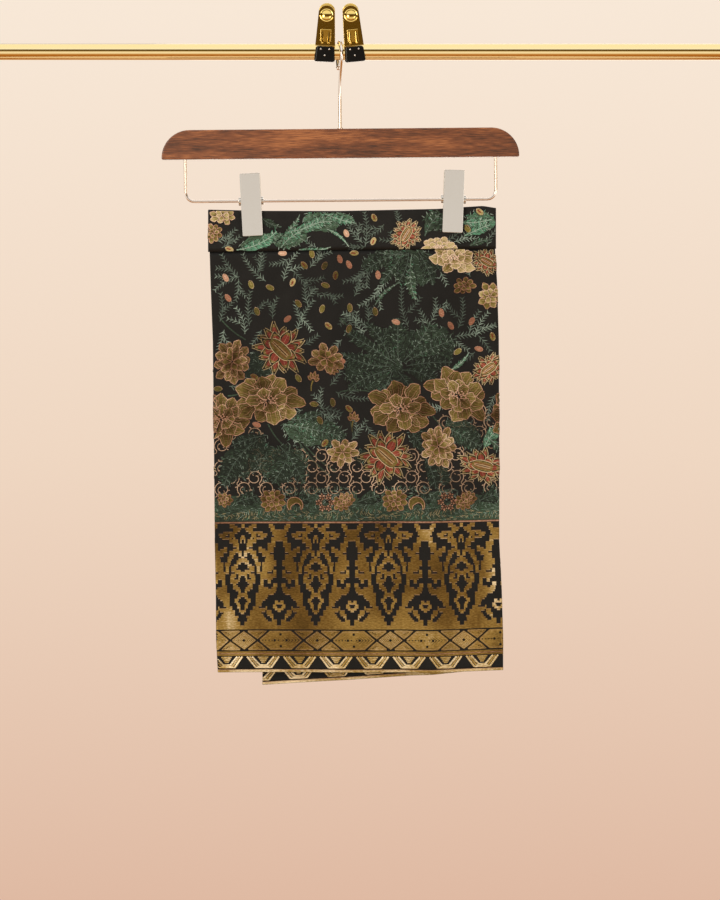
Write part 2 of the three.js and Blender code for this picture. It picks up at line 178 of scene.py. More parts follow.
BORDER_CHART = (
    # half of the repeat in steps of 1.1 mm, from the middle of the small figure to that of the large one
    "##.......######.............#####.......",
    "##....#########.............#######.....",
    "..#########...................#####.....",
    "...########...................##########",
    "......################..........########",
    ".........######.###########.....########",
    "##.......######....#######........######",
    "###.....###.###########........#########",
    ".##..##########................#########",
    ".##..##########................#####....",
    "....#######................#########....",
    "....#######................#########....",
    "....###..........####......#######......",
    "....#######......########..#######......",
    ".##############..#################......",
    ".####...#######......#########..........",
    ".####.....#####......#############......",
    "##........#######........#########......",
    "#####.......#####.......##########......",
    "#######......####.......#############...",
    "..#####......#######.################...",
    ".....#####....######.################...",
    ".....########..####..#############......",
    ".......######..####..#############......",
    "..###########..####..###########.####...",
    "#########......############......####...",
    "#####..######......##################...",
    "..###..#######.....##################...",
    "...##....#####.....##############.......",
    "...###########.....####....####.........",
    ".....#########.....####....####.........",
    ".......####........####..........#####..",
    ".....######......######..........#####..",
    "...########......###########...######...",
    "..######.........####################...",
    "..###............###################....",
    "#####.........####################......",
    "######........##############............",
    "..####........#############.............",
    "....#####.....###########...............",
    ".....####.....########.............####.",
    "...####.......#######..............#####",
    "..####........#######............####...",
    "..####.....#######.......##......#####..",
    "..##.......################........#####",
    "####....#################.######......##",
    "##......#############.....######........",
    "........###############....#######......",
    "....####################......####......",
    ".....#####################......##......",
    ".....#######################....######..",
    "..####################################..",
    "..####################################..",
    "########################################",
    "########################################",
)
# Painted highlights on the border's gilt, raised in its tone where the hanging cloth turns to the light
PAINTED_GLEAMS = (
    # across, drop, width, height, gain
    (14, 452, 14, 20, 0.38),
    (36, 386, 13, 26, 0.36),
    (60, 392, 10, 18, 0.32),
    (265, 350, 12, 14, 0.3),
    (342, 400, 10, 40, 0.36),
)
PEONY_PETALS = (
    # base and tip as shares of the flower's half width and half height, half width, level
    (-0.35, -0.15, -0.62, -0.74, 0.26, 1), (-0.2, -0.25, -0.26, -0.97, 0.28, 2),
    (0.05, -0.25, 0.14, -1.0, 0.28, 1), (0.25, -0.2, 0.5, -0.86, 0.26, 2),
    (0.35, -0.1, 0.86, -0.5, 0.25, 1), (-0.3, 0.0, -0.93, -0.38, 0.26, 2),
    (-0.25, 0.1, -1.02, 0.22, 0.26, 1), (0.3, 0.05, 1.04, 0.12, 0.24, 2),
    (0.3, 0.2, 0.98, 0.55, 0.26, 1), (-0.3, 0.2, -0.76, 0.7, 0.28, 2),
    (-0.12, 0.25, -0.34, 1.0, 0.29, 1), (0.1, 0.25, 0.22, 0.92, 0.26, 2),
    (0.25, 0.25, 0.62, 0.8, 0.26, 1), (-0.1, 0.05, -0.52, -0.3, 0.22, 3),
    (0.0, 0.0, -0.14, -0.5, 0.22, 4), (0.05, 0.0, 0.3, -0.48, 0.22, 3), (0.1, 0.05, 0.56, -0.2, 0.2, 4),
    (0.1, 0.1, 0.5, 0.3, 0.2, 3), (0.0, 0.12, 0.12, 0.52, 0.25, 4), (-0.08, 0.12, -0.36, 0.46, 0.22, 3),
    (-0.1, 0.08, -0.6, 0.12, 0.2, 4),
)

FIELD_BLOOMS = (
    # kind, across, drop, half width, half height, turn in degrees, tone
    ("mum", 22, 136, 23, 27, 10, 0.26),
    ("lotus", 81, 121, 33, 31, 45, 0.5),
    ("blossom", 138, 133, 22, 18, 15, 0.26),
    ("peony", 65, 183, 41, 30, 3, 0.28),
    ("peony", 7, 205, 28, 31, -25, 0.22),
    ("peony", 228, 194, 39, 30, 4, 0.23),
    ("peony", 300, 179, 38, 28, 38, 0.34),
    ("mum", 275, 242, 22, 26, -8, 0.45),
    ("lotus", 210, 254, 32, 33, 42, 0.5),
    ("lotus", 337, 148, 22, 18, -35, 0.7),
    ("lotus", 329, 267, 31, 21, 15, 0.7),
    ("blossom", 157, 248, 20, 17, -10, 0.6),
    ("peony", 297, 10, 26, 17, 8, 0.75),
    ("lotus", 338, 16, 18, 16, 30, 0.6),
    ("blossom", 309, 45, 14, 10, -10, 0.15),
    ("blossom", 340, 58, 15, 17, 0, 0.6),
)

# The waistband's tones, here and in its tables of leaves, seeds and thickets, are set higher than the body's:
# partly the threads' own colour and partly painted sheen, for the doubled band lies at another angle to the
# light
BAND_BLOOMS = (
    # kind, across, drop, half width, half height, turn in degrees, tone
    ("blossom", 16, 6, 16, 11, 0, 0.95),
    ("lotus", 240, 32, 21, 18, -60, 0.9),
    ("peony", 280, 48, 21, 12, 0, 0.95),
    ("blossom", 5, 28, 10, 12, 0, 0.6),
)

FIELD_LEAVES = (
    # across and drop of the stalk, across and drop of the tip, half width, tone
    (223, 140, 160, 99, 7.4, 0.2), (218, 143, 156, 126, 7.4, 0.15), (216, 148, 163, 172, 7.4, 0.12),
    (218, 150, 193, 186, 7.4, 0.15), (216, 135, 187, 89, 7.4, 0.15), (226, 133, 227, 84, 8.6, 0.2),
    (233, 136, 266, 90, 9.8, 0.2), (236, 138, 298, 110, 8.6, 0.25), (236, 143, 292, 139, 7.4, 0.15),
    (231, 148, 274, 163, 8.6, 0.12), (226, 150, 245, 176, 7.4, 0.12), (233, 4, 187, 27, 6.2, 0.2),
    (236, 4, 206, 42, 6.2, 0.2), (243, 4, 227, 42, 6.2, 0.2), (247, 6, 249, 62, 6.2, 0.55),
    (255, 4, 271, 44, 7.4, 0.2), (262, 4, 288, 29, 6.2, 0.2), (242, 7, 206, 4, 4.9, 0.35),
    (85, 214, 156, 229, 11.1, 0.55), (90, 207, 132, 200, 7.4, 0.35), (52, 233, 10, 289, 14.8, 0.2),
    (57, 228, 20, 240, 7.4, 0.15), (92, 240, 69, 287, 13.5, 0.2), (79, 240, 109, 287, 9.8, 0.15),
    (286, 219, 328, 244, 11.1, 0.3), (331, 247, 350, 221, 7.4, 0.95), (339, 235, 355, 250, 6.2, 0.7),
    (257, 253, 272, 294, 7.4, 0.1), (241, 221, 257, 241, 4.9, 0.12), (199, 68, 231, 40, 2.2, 0.45),
    (291, 148, 313, 127, 2.7, 0.8), (228, 160, 193, 182, 4.9, 0.1),
)

BAND_LEAVES = (
    # across and drop of the stalk, across and drop of the tip, half width, tone
    (33, 49, 82, 26, 7.4, 0.85), (87, 47, 112, 26, 8.6, 0.8), (96, 26, 147, 4, 7.4, 0.8),
    (112, 24, 150, 13, 6.2, 0.9), (141, 3, 179, 16, 4.9, 0.9), (109, 50, 148, 47, 3.7, 0.85),
    (263, 34, 282, 5, 7.4, 0.5), (310, 18, 345, 14, 4.9, 0.8), (311, 35, 343, 21, 6.2, 0.75),
    (143, 23, 170, 47, 2.0, 0.95), (90, 32, 110, 4, 3.7, 0.55), (64, 9, 88, 20, 4.9, 0.3),
    (318, 47, 345, 40, 3.7, 0.3),
)

FIELD_FERNS = (
    # across and drop of the root, across and drop of the tip
    (33, 33, 13, 3), (66, 37, 39, 3), (57, 27, 66, 3), (34, 31, 3, 48), (33, 34, 28, 61),
    (8, 86, 10, 51), (38, 102, 28, 69), (44, 92, 47, 49), (73, 84, 80, 57), (88, 37, 107, 2),
    (100, 24, 134, 57), (117, 67, 115, 39), (102, 99, 124, 61), (134, 52, 160, 56), (121, 21, 148, 2),
    (95, 10, 72, 16), (191, 22, 161, 39), (182, 103, 159, 78), (205, 18, 172, 39), (174, 57, 183, 33),
    (217, 30, 179, 69), (239, 95, 233, 47), (266, 96, 253, 74), (267, 89, 273, 60), (300, 97, 306, 60),
    (321, 108, 338, 78), (296, 107, 347, 94), (325, 107, 339, 126), (201, 110, 163, 77),
    (190, 89, 188, 64), (317, 34, 315, 18), (281, 28, 288, 44), (285, 138, 284, 118),
    (296, 112, 312, 124), (132, 195, 132, 169), (129, 194, 156, 201), (129, 197, 149, 221),
    (48, 164, 37, 141), (60, 153, 48, 128), (106, 83, 120, 99), (149, 174, 193, 182),
    (142, 166, 155, 148), (13, 96, 5, 121), (111, 116, 128, 104), (168, 233, 186, 209),
    (186, 215, 201, 231), (243, 224, 265, 248), (285, 191, 262, 204), (18, 166, 37, 173),
    (108, 196, 92, 206), (345, 180, 336, 211), (320, 127, 302, 139), (157, 110, 142, 125),
    (59, 97, 46, 115), (175, 76, 155, 92), (287, 62, 279, 82),
)

BAND_FERNS = (
    # across and drop of the root, across and drop of the tip
    (190, 46, 189, 1), (187, 42, 169, 17), (191, 47, 164, 42), (8, 38, 32, 23), (15, 46, 37, 32),
    (238, 47, 208, 38), (299, 42, 328, 39), (213, 18, 194, 33), (230, 16, 228, 1), (132, 48, 118, 37),
    (289, 40, 304, 30), (339, 48, 350, 28),
)

FIELD_SEEDS = (
    # across, drop, turn in degrees, tone
    (88, 3, 0, 0.9), (124, 4, 80, 0.8), (114, 18, 50, 0.45), (139, 19, -60, 0.3), (158, 11, 75, 0.4),
    (169, 18, 65, 0.5), (152, 31, -80, 0.35), (139, 43, 20, 0.6), (99, 39, -65, 0.9), (17, 32, 60, 0.8),
    (48, 41, 70, 0.8), (71, 45, 25, 0.55), (19, 57, 55, 0.5), (54, 74, 70, 0.6), (105, 65, 55, 0.55),
    (134, 72, -70, 0.7), (91, 84, -40, 0.4), (141, 93, 45, 0.5), (168, 71, 85, 0.6),
    (166, 97, -70, 0.5), (176, 4, 0, 0.7), (199, 76, 80, 0.4), (224, 89, 20, 0.6), (280, 78, 80, 0.65),
    (291, 94, 60, 0.45), (317, 89, -60, 0.4), (342, 108, 75, 0.5), (299, 126, -35, 0.8),
    (325, 123, 15, 0.55), (204, 31, 85, 0.5), (103, 157, 55, 0.55), (122, 189, 10, 0.5),
    (145, 187, 80, 0.4), (165, 195, 45, 0.6), (30, 196, 60, 0.55), (135, 237, -50, 0.7),
    (129, 209, 60, 0.55), (49, 155, 30, 0.4), (4, 169, 0, 0.5), (51, 214, 20, 0.5), (156, 136, 20, 0.5),
)

BAND_SEEDS = (
    # across, drop, turn in degrees, tone
    (167, 29, 70, 1), (201, 9, 65, 0.8), (200, 40, -70, 0.95), (330, 6, 40, 0.9), (315, 26, 60, 0.7),
    (24, 48, 20, 0.9),
)

FIELD_THICKETS = (
    # across, drop, half width, half height, turn in degrees, tone
    (197, 150, 36, 24, 0, 0.2), (269, 123, 25, 29, 20, 0.25), (230, 116, 28, 20, 20, 0.15),
    (249, 22, 27, 22, 0, 0.3), (206, 13, 22, 10, -20, 0.25), (122, 223, 38, 17, 10, 0.45),
    (39, 253, 32, 17, 125, 0.15), (82, 262, 32, 22, 0, 0.15), (305, 225, 24, 14, 30, 0.25),
    (275, 272, 20, 9, 55, 0.15), (254, 234, 17, 12, 40, 0.15), (181, 254, 10, 8, 0, 0.15),
    (53, 142, 20, 17, 0, 0.05),
)

BAND_THICKETS = (
    # across, drop, half width, half height, turn in degrees, tone
    (63, 38, 26, 9, -15, 0.65), (100, 36, 20, 10, -20, 0.7), (136, 14, 22, 12, 10, 0.7),
    (159, 9, 18, 7, 10, 0.75), (275, 14, 12, 13, 0, 0.45), (331, 18, 18, 12, 0, 0.7),
)

BUD_SPRIGS = (
    # across, drop, turn in degrees
    (121, 160, 100),
    (170, 210, 95),
    (142, 145, 200),
)

FIELD_STEMS = (
    # across and drop of one end, across and drop of the other
    (107, 235, 148, 272), (99, 229, 141, 277), (65, 213, 84, 240), (166, 194, 171, 228),
    (16, 178, 34, 174), (266, 201, 285, 222), (167, 98, 199, 126), (155, 83, 194, 113),
    (10, 84, 39, 109), (197, 175, 154, 174),
)

SCROLL_GROUND = (
    # across and drop of the upper left, across and drop of the lower right
    (0, 251, 351, 300),
    (1, 220, 57, 297),
    (277, 191, 351, 300),
)

ROW_MOTIFS = (
    # kind, across, drop, reach
    ("lobe", 38, 303, 13),
    ("lobe", 105, 306, 11),
    ("disc", 11, 306, 10),
    ("rosette", 70, 308, 16),
    ("paisley", 98, 315, 11),
    ("cluster", 135, 310, 11),
    ("disc", 155, 311, 11),
)


def smooth_step(start, end, value):
    part = np.clip((value - start) / (end - start), 0, 1)
    return part * part * (3 - 2 * part)


def layer_depth(layer, across, pitch):
    layers = {"front": 0 * across, "return": pitch + 0 * across, "inner": 2 * pitch + 0 * across}
    if layer in layers:
        return layers[layer]
    return pitch * (3 - 2 * smooth_step(*BACK_STEP, across))


def swell(across, fall):
    """Depth of the standing folds, which grow towards the hem."""
    depth = 0 * across
    for place, drift, width, rise in WAVES:
        offset = (across - place - drift * fall) / width
        depth = depth - rise * fall ** 1.2 * np.exp(-offset ** 2)
    return depth


def crease(across, fall):
    """Depth of the soft ridges and troughs pressed into the cloth by its folding."""
    place = across * FRONT_WIDTH
    drop = fall * BODY_DROP
    depth = 0 * across
    for left, top, right, foot, half, rise in CREASES:
        run = (right - left, foot - top)
        length = math.hypot(*run)
        part = ((place - left) * run[0] + (drop - top) * run[1]) / length ** 2
        away = ((place - left) * run[1] - (drop - top) * run[0]) / length
        taper = np.clip(1 - (2 * part - 1) ** 2, 0, 1)
        depth = depth - rise * taper * np.exp(-(away / half) ** 2)
    return depth


def folded_row(left, right, fall, creased):
    """The folded cloth in plan at one height: its x, y, sag and place across the front."""
    pitch = LAYER_PITCH_TOP + (LAYER_PITCH_HEM - LAYER_PITCH_TOP) * fall
    bend = pitch / 2
    span = right - left - 2 * bend
    tuck = (TUCK_TOP + (TUCK_HEM - TUCK_TOP) * fall - left) / span
    ends = {"return": (RETURN_END, 0), "front": (0, 1), "outer": (1, tuck), "inner": (tuck, INNER_END)}
    row = []
    for start, finish, _, steps in RUNS:
        last_run = start == finish == "inner"
        part = np.arange(steps + last_run) / steps
        first, last = ends[start]
        across = first + (last - first) * part if start == finish else np.full(steps, float(last))
        x = left + bend + span * across
        y = layer_depth(start, across, pitch)
        if start != finish:
            side = 1 if start == "front" else -1
            x = x + side * bend * np.sin(math.pi * part)
            y = y + (layer_depth(finish, across, pitch) - y) * (1 - np.cos(math.pi * part)) / 2
        y = y + FRONT_DEPTH + swell(across, fall)
        if creased:
            y = y + crease(across, fall)
        hangs = {"inner", "outer"} & {start, finish}
        sag = SAG_PER_WIDTH * np.clip(SAG_HELD - across, 0, None) * bool(hangs)
        row.append(np.stack((x, y, sag, across)))
    return np.concatenate(row, axis=1)


def height(table, across):
    return np.interp(across, table[:, 0], table[:, 1])


def face_normals(points):
    """Unit normals on the patterned side of a grid of points."""
    along = np.gradient(points, axis=1)
    down = np.gradient(points, axis=0)
    normal = np.cross(down, along)
    return normal / np.linalg.norm(normal, axis=2, keepdims=True)


def flat_columns():
    """Flat place of every column of the grid, from the free end of the return to the inner free end."""
    places = [FLAT_START]
    for _, _, length, steps in RUNS:
        places.extend(np.linspace(places[-1], places[-1] + length, steps + 1)[1:])
    return np.array(places)


def cloth_grid(drops, points, skin):
    """A sheet as a grid of points, with their flat places, the normals of its face and half its thickness."""
    return {
        "columns": flat_columns(),
        "drops": drops,
        "points": points,
        "normals": face_normals(points),
        "face": skin / 2,
    }


def body_cloth():
    """The folded body, from the seam down to the leaning hem."""
    rows = []
    drops = np.linspace(0, BODY_DROP, BODY_ROWS)
    for drop in drops:
        fall = drop / BODY_DROP
        left = np.interp(drop, EDGES[:, 0], EDGES[:, 1])
        right = np.interp(drop, EDGES[:, 0], EDGES[:, 2])
        x, y, sag, across = folded_row(left, right, fall, True)
        top = height(SEAM, across) - SEAM_GAP / 2
        z = top + (height(HEM, across) - top) * fall - sag
        rows.append(np.stack((x, y, z), axis=1))
    return cloth_grid(drops, np.array(rows), BODY_SKIN)


def band_cloth():
    """The doubled strip: up its back wall, over the top fold and down its front wall."""
    x, y, sag, across = folded_row(BAND_LEFT, BAND_RIGHT, 0, False)
    flat = np.stack((x, y), axis=1)
    along = np.gradient(flat, axis=0)
    outward = np.stack((along[:, 1], -along[:, 0]), axis=1)
    outward = outward / np.linalg.norm(outward, axis=1, keepdims=True)
    half = BAND_WALL_SPACING / 2
    crown = half + BAND_SKIN / 2
    bottom = height(SEAM, across) + SEAM_GAP / 2
    top = height(BAND_TOP, across) - crown
    walls = np.linspace(0, 1, BAND_WALL_ROWS)
    profile = [(-half, part, 0.0, part * BAND_HEIGHT - BAND_HEIGHT) for part in walls]
    for angle in np.linspace(0, math.pi, BAND_FOLD_ROWS)[1:-1]:
        profile.append((-half * math.cos(angle), 1.0, half * math.sin(angle), angle / math.pi - 0.5))
    profile.extend((half, part, 0.0, (1 - part) * BAND_HEIGHT) for part in walls[::-1])
    rows = []
    drops = []
    for depth, part, rise, drop in profile:
        z = bottom + (top - bottom) * part + rise - sag
        place = flat + outward * depth
        rows.append(np.stack((place[:, 0], place[:, 1], z), axis=1))
        drops.append(drop)
    # Rows with the same drop are set a hair apart
    drops = np.array(drops) + np.arange(len(drops)) * ROW_HAIR
    return cloth_grid(drops, np.array(rows), BAND_SKIN)


def on_cloth(cloth, across, drop, lift):
    """Places flat points on the patterned face, lifted off it."""
    points = cloth["points"]
    column = np.interp(across, cloth["columns"], np.arange(points.shape[1]))
    row = np.interp(drop, cloth["drops"], np.arange(points.shape[0]))
    left = np.minimum(column.astype(int), points.shape[1] - 2)
    above = np.minimum(row.astype(int), points.shape[0] - 2)
    right_part = (column - left)[:, None]
    below_part = (row - above)[:, None]

    def between(field):
        upper = field[above, left] * (1 - right_part) + field[above, left + 1] * right_part
        lower = field[above + 1, left] * (1 - right_part) + field[above + 1, left + 1] * right_part
        return upper * (1 - below_part) + lower * below_part

    normal = between(cloth["normals"])
    normal = normal / np.linalg.norm(normal, axis=1, keepdims=True)
    return between(points) + normal * (cloth["face"] + lift)[:, None]


def finish_piece(obj, material, nodes=()):
    """Gives a finished piece its material, the body it rides on and the solids it stands for."""
    obj.data.materials.clear()
    obj.data.materials.append(material)
    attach(obj, "root")
    if nodes:
        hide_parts(*nodes)


def mesh_object(name, points, faces, flat):
    """A mesh from arrays, with its flat places as a UV map in metres."""
    mesh = bpy.data.meshes.new(name)
    mesh.from_pydata((np.asarray(points) * MM).tolist(), [], faces)
    corners = np.empty(len(mesh.loops), dtype=np.int32)
    mesh.loops.foreach_get("vertex_index", corners)
    places = mesh.uv_layers.new(name="flat")
    places.data.foreach_set("uv", (np.asarray(flat)[corners] * MM).astype(np.float32).ravel())
    obj = bpy.data.objects.new(name, mesh)
    bpy.context.scene.collection.objects.link(obj)
    return obj


def sheet_object(name, cloth, skin):
    """The cloth itself: a thin closed sheet on both sides of its grid of points."""
    offset = cloth["normals"] * (skin / 2)
    rows, columns = cloth["points"].shape[:2]
    face_side = (cloth["points"] + offset).reshape(-1, 3)
    reverse_side = (cloth["points"] - offset).reshape(-1, 3)
    count = rows * columns
    index = np.arange(count).reshape(rows, columns)
    quads = np.stack((index[:-1, :-1], index[1:, :-1], index[1:, 1:], index[:-1, 1:]), axis=-1).reshape(-1, 4)
    rim = np.concatenate((
        np.stack((index[:-1, 0], index[1:, 0]), axis=1),
        np.stack((index[-1, :-1], index[-1, 1:]), axis=1),
        np.stack((index[1:, -1], index[:-1, -1]), axis=1),
        np.stack((index[0, 1:], index[0, :-1]), axis=1),
    ))
    walls = np.stack((rim[:, 1], rim[:, 0], rim[:, 0] + count, rim[:, 1] + count), axis=1)
    faces = np.concatenate((quads, quads[:, ::-1] + count, walls)).tolist()
    across, drop = np.meshgrid(cloth["columns"], cloth["drops"])
    flat = np.stack((across.ravel(), drop.ravel()), axis=1)
    obj = mesh_object(name, np.concatenate((face_side, reverse_side)), faces, np.concatenate((flat, flat)))
    obj.data.polygons.foreach_set("use_smooth", np.ones(len(obj.data.polygons), dtype=bool))
    return obj


# Heights of the threads off the cloth: the foot, the step between layers of petals, and the parts of a petal
THREAD_FOOT = -0.06
LEVEL_STEP = 0.15
BACKING_RISE = 0.3
FILL_RISE = 0.05
INNER_RISE = 0.11
EDGE_RISE = 0.13
EDGE_SINK = 0.03
# The hem's stripe goes through to the reverse
HEM_THROUGH = -0.95
# The share of its height that a thread keeps under a clip's plate
PRESSED_SHARE = 0.15
# Half widths of a petal's edge and of its inner lines, and the dark gap round it
EDGE_HALF = 0.58
INNER_HALF = 0.36
GAP = 0.9
# The tone of the ground's own weft, which is neither deep nor bright
DULL = 0.5
# Half widths from which a petal has edges of its own, and inner lines
SMALLEST_EDGED = 1.75
LARGE_PETAL = 4.0
# Half width that a petal is wider than, and its steps
PETAL_STEPS = ((4.5, 8), (2.6, 6), (0, 4))
# Share of a large petal's width, and the thread of the line there
INNER_LINES = ((0.7, "khaki"), (0.38, "rose"))
GOLDEN_ANGLE = 137.5
# The widest facet of a flat strip, and the longest step along the border's and the stripes' threads
WIDEST_SPAN = 7.5
LONGEST_STEP = 7.0
STRIPE_PIECE = 6.0


class ThreadWork:
    """The brocaded threads of one cloth as strips: a middle line, a half width and heights off the cloth."""

    def __init__(self, top, foot, pressed=()):
        self.top = top
        self.foot = foot
        self.pressed = pressed
        self.strips = {}

    def lay(self, thread, line, half, rise, tone, foot=THREAD_FOOT, flat_top=False):
        """Lays one strip: a ridge, or a bar with a flat top."""
        line = np.asarray(line, dtype=float)
        half = np.broadcast_to(np.asarray(half, dtype=float), len(line))
        self.strips.setdefault(thread, []).append((line, half, foot, rise, tone, flat_top))


def bowed(start, end, bow, steps):
    """A line from start to end that bows to one side by a share of its length."""
    start = np.asarray(start, dtype=float)
    end = np.asarray(end, dtype=float)
    part = np.linspace(0, 1, steps + 1)[:, None]
    run = end - start
    side = np.array((-run[1], run[0]))
    return start + run * part + side * (bow * 4 * part * (1 - part))


def straight(start, end, steps):
    return bowed(start, end, 0, steps)


def level_line(place, reach):
    """A short line across the cloth, as long on both sides of a place."""
    return straight(np.asarray(place) - (reach, 0), np.asarray(place) + (reach, 0), 2)


def toward(angle):
    """One millimetre at an angle in radians."""
    return np.array((math.cos(angle), math.sin(angle)))


def turning(degrees):
    """The matrix that turns a figure about its centre."""
    cosine, sine = toward(math.radians(degrees))
    return np.array(((cosine, -sine), (sine, cosine)))


def ring(centre, radii, turn, start, sweep, steps):
    """Part of an ellipse that is turned about its centre, in degrees."""
    angle = np.radians(np.linspace(start, start + sweep, steps + 1))
    x = radii[0] * np.cos(angle)
    y = radii[1] * np.sin(angle)
    lean = math.radians(turn)
    across = centre[0] + x * math.cos(lean) - y * math.sin(lean)
    drop = centre[1] + x * math.sin(lean) + y * math.cos(lean)
    return np.stack((across, drop), axis=1)


def sides(line, half):
    """The two edges of a strip."""
    along = np.gradient(line, axis=0)
    along = along / np.maximum(np.linalg.norm(along, axis=1, keepdims=True), 1e-9)
    side = np.stack((-along[:, 1], along[:, 0]), axis=1) * np.asarray(half)[:, None]
    return line + side, line - side


def petal_width(half, steps, style):
    """Half widths along a petal: round, drawn out to a point, or full with a short point."""
    part = np.linspace(0, 1, steps + 1)
    if style == "point":
        return half * np.sin(math.pi * np.clip(part, 0.03, 0.985) ** 0.7)
    if style == "full":
        ripple = 1 + 0.16 * np.sin(part * 15 + half * 3)
        return half * ripple * np.sin(math.pi * np.clip(part, 0.06, 0.985) ** 1.3) ** 0.85
    swelled = 2 * np.clip(part, 0.02, 0.98) ** 1.25 - 1
    return half * (1 - np.abs(swelled) ** 2.6) ** (1 / 2.6)


def petal(work, base, tip, half, level, tone, style, bow=0.0):
    """One petal: a dark gap round it, a gold fill that lightens to its tip, a rose edge and inner lines."""
    steps = next(count for narrower, count in PETAL_STEPS if half > narrower)
    line = bowed(base, tip, bow, steps)
    width = petal_width(half, steps, style)
    lift = BACKING_RISE + LEVEL_STEP * level
    shade = tone + np.linspace(-0.3, 0.2, steps + 1)
    work.lay("ground", line[::2], width[::2] + GAP, lift, DULL, flat_top=True)
    if half < SMALLEST_EDGED:
        work.lay("rose", line, width, lift + EDGE_RISE, shade, foot=lift - EDGE_SINK)
        return
    work.lay("gold", line, width, lift + FILL_RISE, shade, flat_top=True)
    large = half > LARGE_PETAL
    edge_tone = tone + 0.25 if large else tone
    for edge in sides(line, width):
        work.lay("rose", edge, EDGE_HALF, lift + EDGE_RISE, edge_tone, foot=lift - EDGE_SINK)
    if large:
        for share, thread in INNER_LINES:
            for edge in sides(line, width * share):
                work.lay(thread, edge[2:-1], INNER_HALF, lift + INNER_RISE, tone + 0.05, foot=lift)


def pod_petal(work, base, tip, half, level, tone, bow):
    """A lotus petal: a khaki line outside, a black gap, then an olive fill with a red root."""
    steps = 6
    gap = 1.3
    outside = 0.9
    edge_half = 0.42
    rib_half = 0.3
    fill_share = 0.8
    line = bowed(base, tip, bow, steps)
    width = petal_width(half, steps, "point")
    lift = BACKING_RISE + LEVEL_STEP * level
    work.lay("ground", line[::2], width[::2] + gap, lift, DULL, flat_top=True)
    shade = tone + np.linspace(-0.3, 0.0, steps)
    work.lay("gold", line[:-1], width[:-1] * fill_share, lift + FILL_RISE, shade, flat_top=True)
    root = width[:-2] * np.linspace(0.95, 0.6, steps - 1)
    work.lay("red", line[:-2], root, lift + 0.08, tone, flat_top=True)
    for edge in sides(line, width + outside):
        work.lay("khaki", edge, edge_half, lift + EDGE_RISE, tone + 0.1, foot=lift - EDGE_SINK)
    work.lay("rose", line[1:-1], rib_half, lift + 0.12, tone, foot=lift)


def around(centre, radii, turn, angle, reach):
    """A place round a flower's centre."""
    return ring(centre, np.array(radii) * reach, turn, angle - turn, 0, 0)[0]


def petal_ring(work, centre, radii, turn, count, reach, half, level, tone, style="full"):
    """Petals round a centre, every other one lying over its neighbours."""
    inner, outer = reach
    for number in range(count):
        # No two petals in a ring are quite the same length, shade or bow
        length = 1 + 0.1 * math.sin(number * 2.4 + centre[1])
        shade = tone + 0.13 * math.sin(number * 1.9 + centre[0])
        bow = 0.1 * math.sin(number * 1.3)
        angle = turn + 360 * (number + 0.37) / count
        base = around(centre, radii, turn, angle, inner)
        tip = around(centre, radii, turn, angle, outer * length)
        if style == "pod":
            pod_petal(work, base, tip, half, level + number % 2, shade, bow)
        else:
            petal(work, base, tip, half, level + number % 2, shade, style, bow)


def seed_dots(work, centre, radii, count, lift, tone):
    """Round knots packed over the heart of a flower."""
    for number in range(count):
        spread = math.sqrt((number + 0.5) / count)
        place = around(centre, radii, 0, number * GOLDEN_ANGLE, spread)
        work.lay("ground", level_line(place, 1.5), (0.8, 1.6, 0.8), lift - 0.12, DULL)
        work.lay("rose", level_line(place, 1.0), (0.45, 0.95, 0.45), lift, tone, foot=lift - 0.2)


def peony(work, centre, radii, turn, tone):
    """An open peony seen from the side: back row, wings and hanging petals round a cup."""
    mean = (radii[0] + radii[1]) / 2
    turned_by = turning(turn)
    # Some of them are woven the other way round
    scale = np.array((math.copysign(radii[0], math.sin(centre[0] + 0.4)), radii[1]))
    middle = np.array(centre, dtype=float)
    for number, (base_x, base_y, tip_x, tip_y, half, level) in enumerate(PEONY_PETALS):
        base = middle + turned_by @ (scale * (base_x, base_y))
        stretch = 1 + 0.12 * math.sin(number * 2.9 + centre[1])
        tip = middle + turned_by @ (scale * (tip_x, tip_y)) * stretch
        shade = tone + 0.14 * math.sin(number * 2.2 + centre[0])
        petal(work, base, tip, half * mean, level, shade, "full", 0.12 * math.sin(number * 1.7))
    seed_dots(work, centre, (radii[0] * 0.32, radii[1] * 0.2), 18, 1.3, tone + 0.2)


def mum(work, centre, radii, turn, tone):
    """Three rings of full petals, one over the other."""
    mean = (radii[0] + radii[1]) / 2
    petal_ring(work, centre, radii, turn, 12, (0.36, 1.0), mean * 0.2, 1, tone)
    petal_ring(work, centre, radii, turn + 12, 10, (0.2, 0.74), mean * 0.17, 3, tone + 0.04)
    petal_ring(work, centre, radii, turn + 30, 6, (0.05, 0.48), mean * 0.15, 5, tone)


def blossom(work, centre, radii, turn, tone):
    """Two rings of broad petals."""
    mean = (radii[0] + radii[1]) / 2
    petal_ring(work, centre, radii, turn, 8, (0.28, 1.0), mean * 0.24, 1, tone)
    petal_ring(work, centre, radii, turn + 22, 6, (0.05, 0.58), mean * 0.2, 3, tone + 0.06)


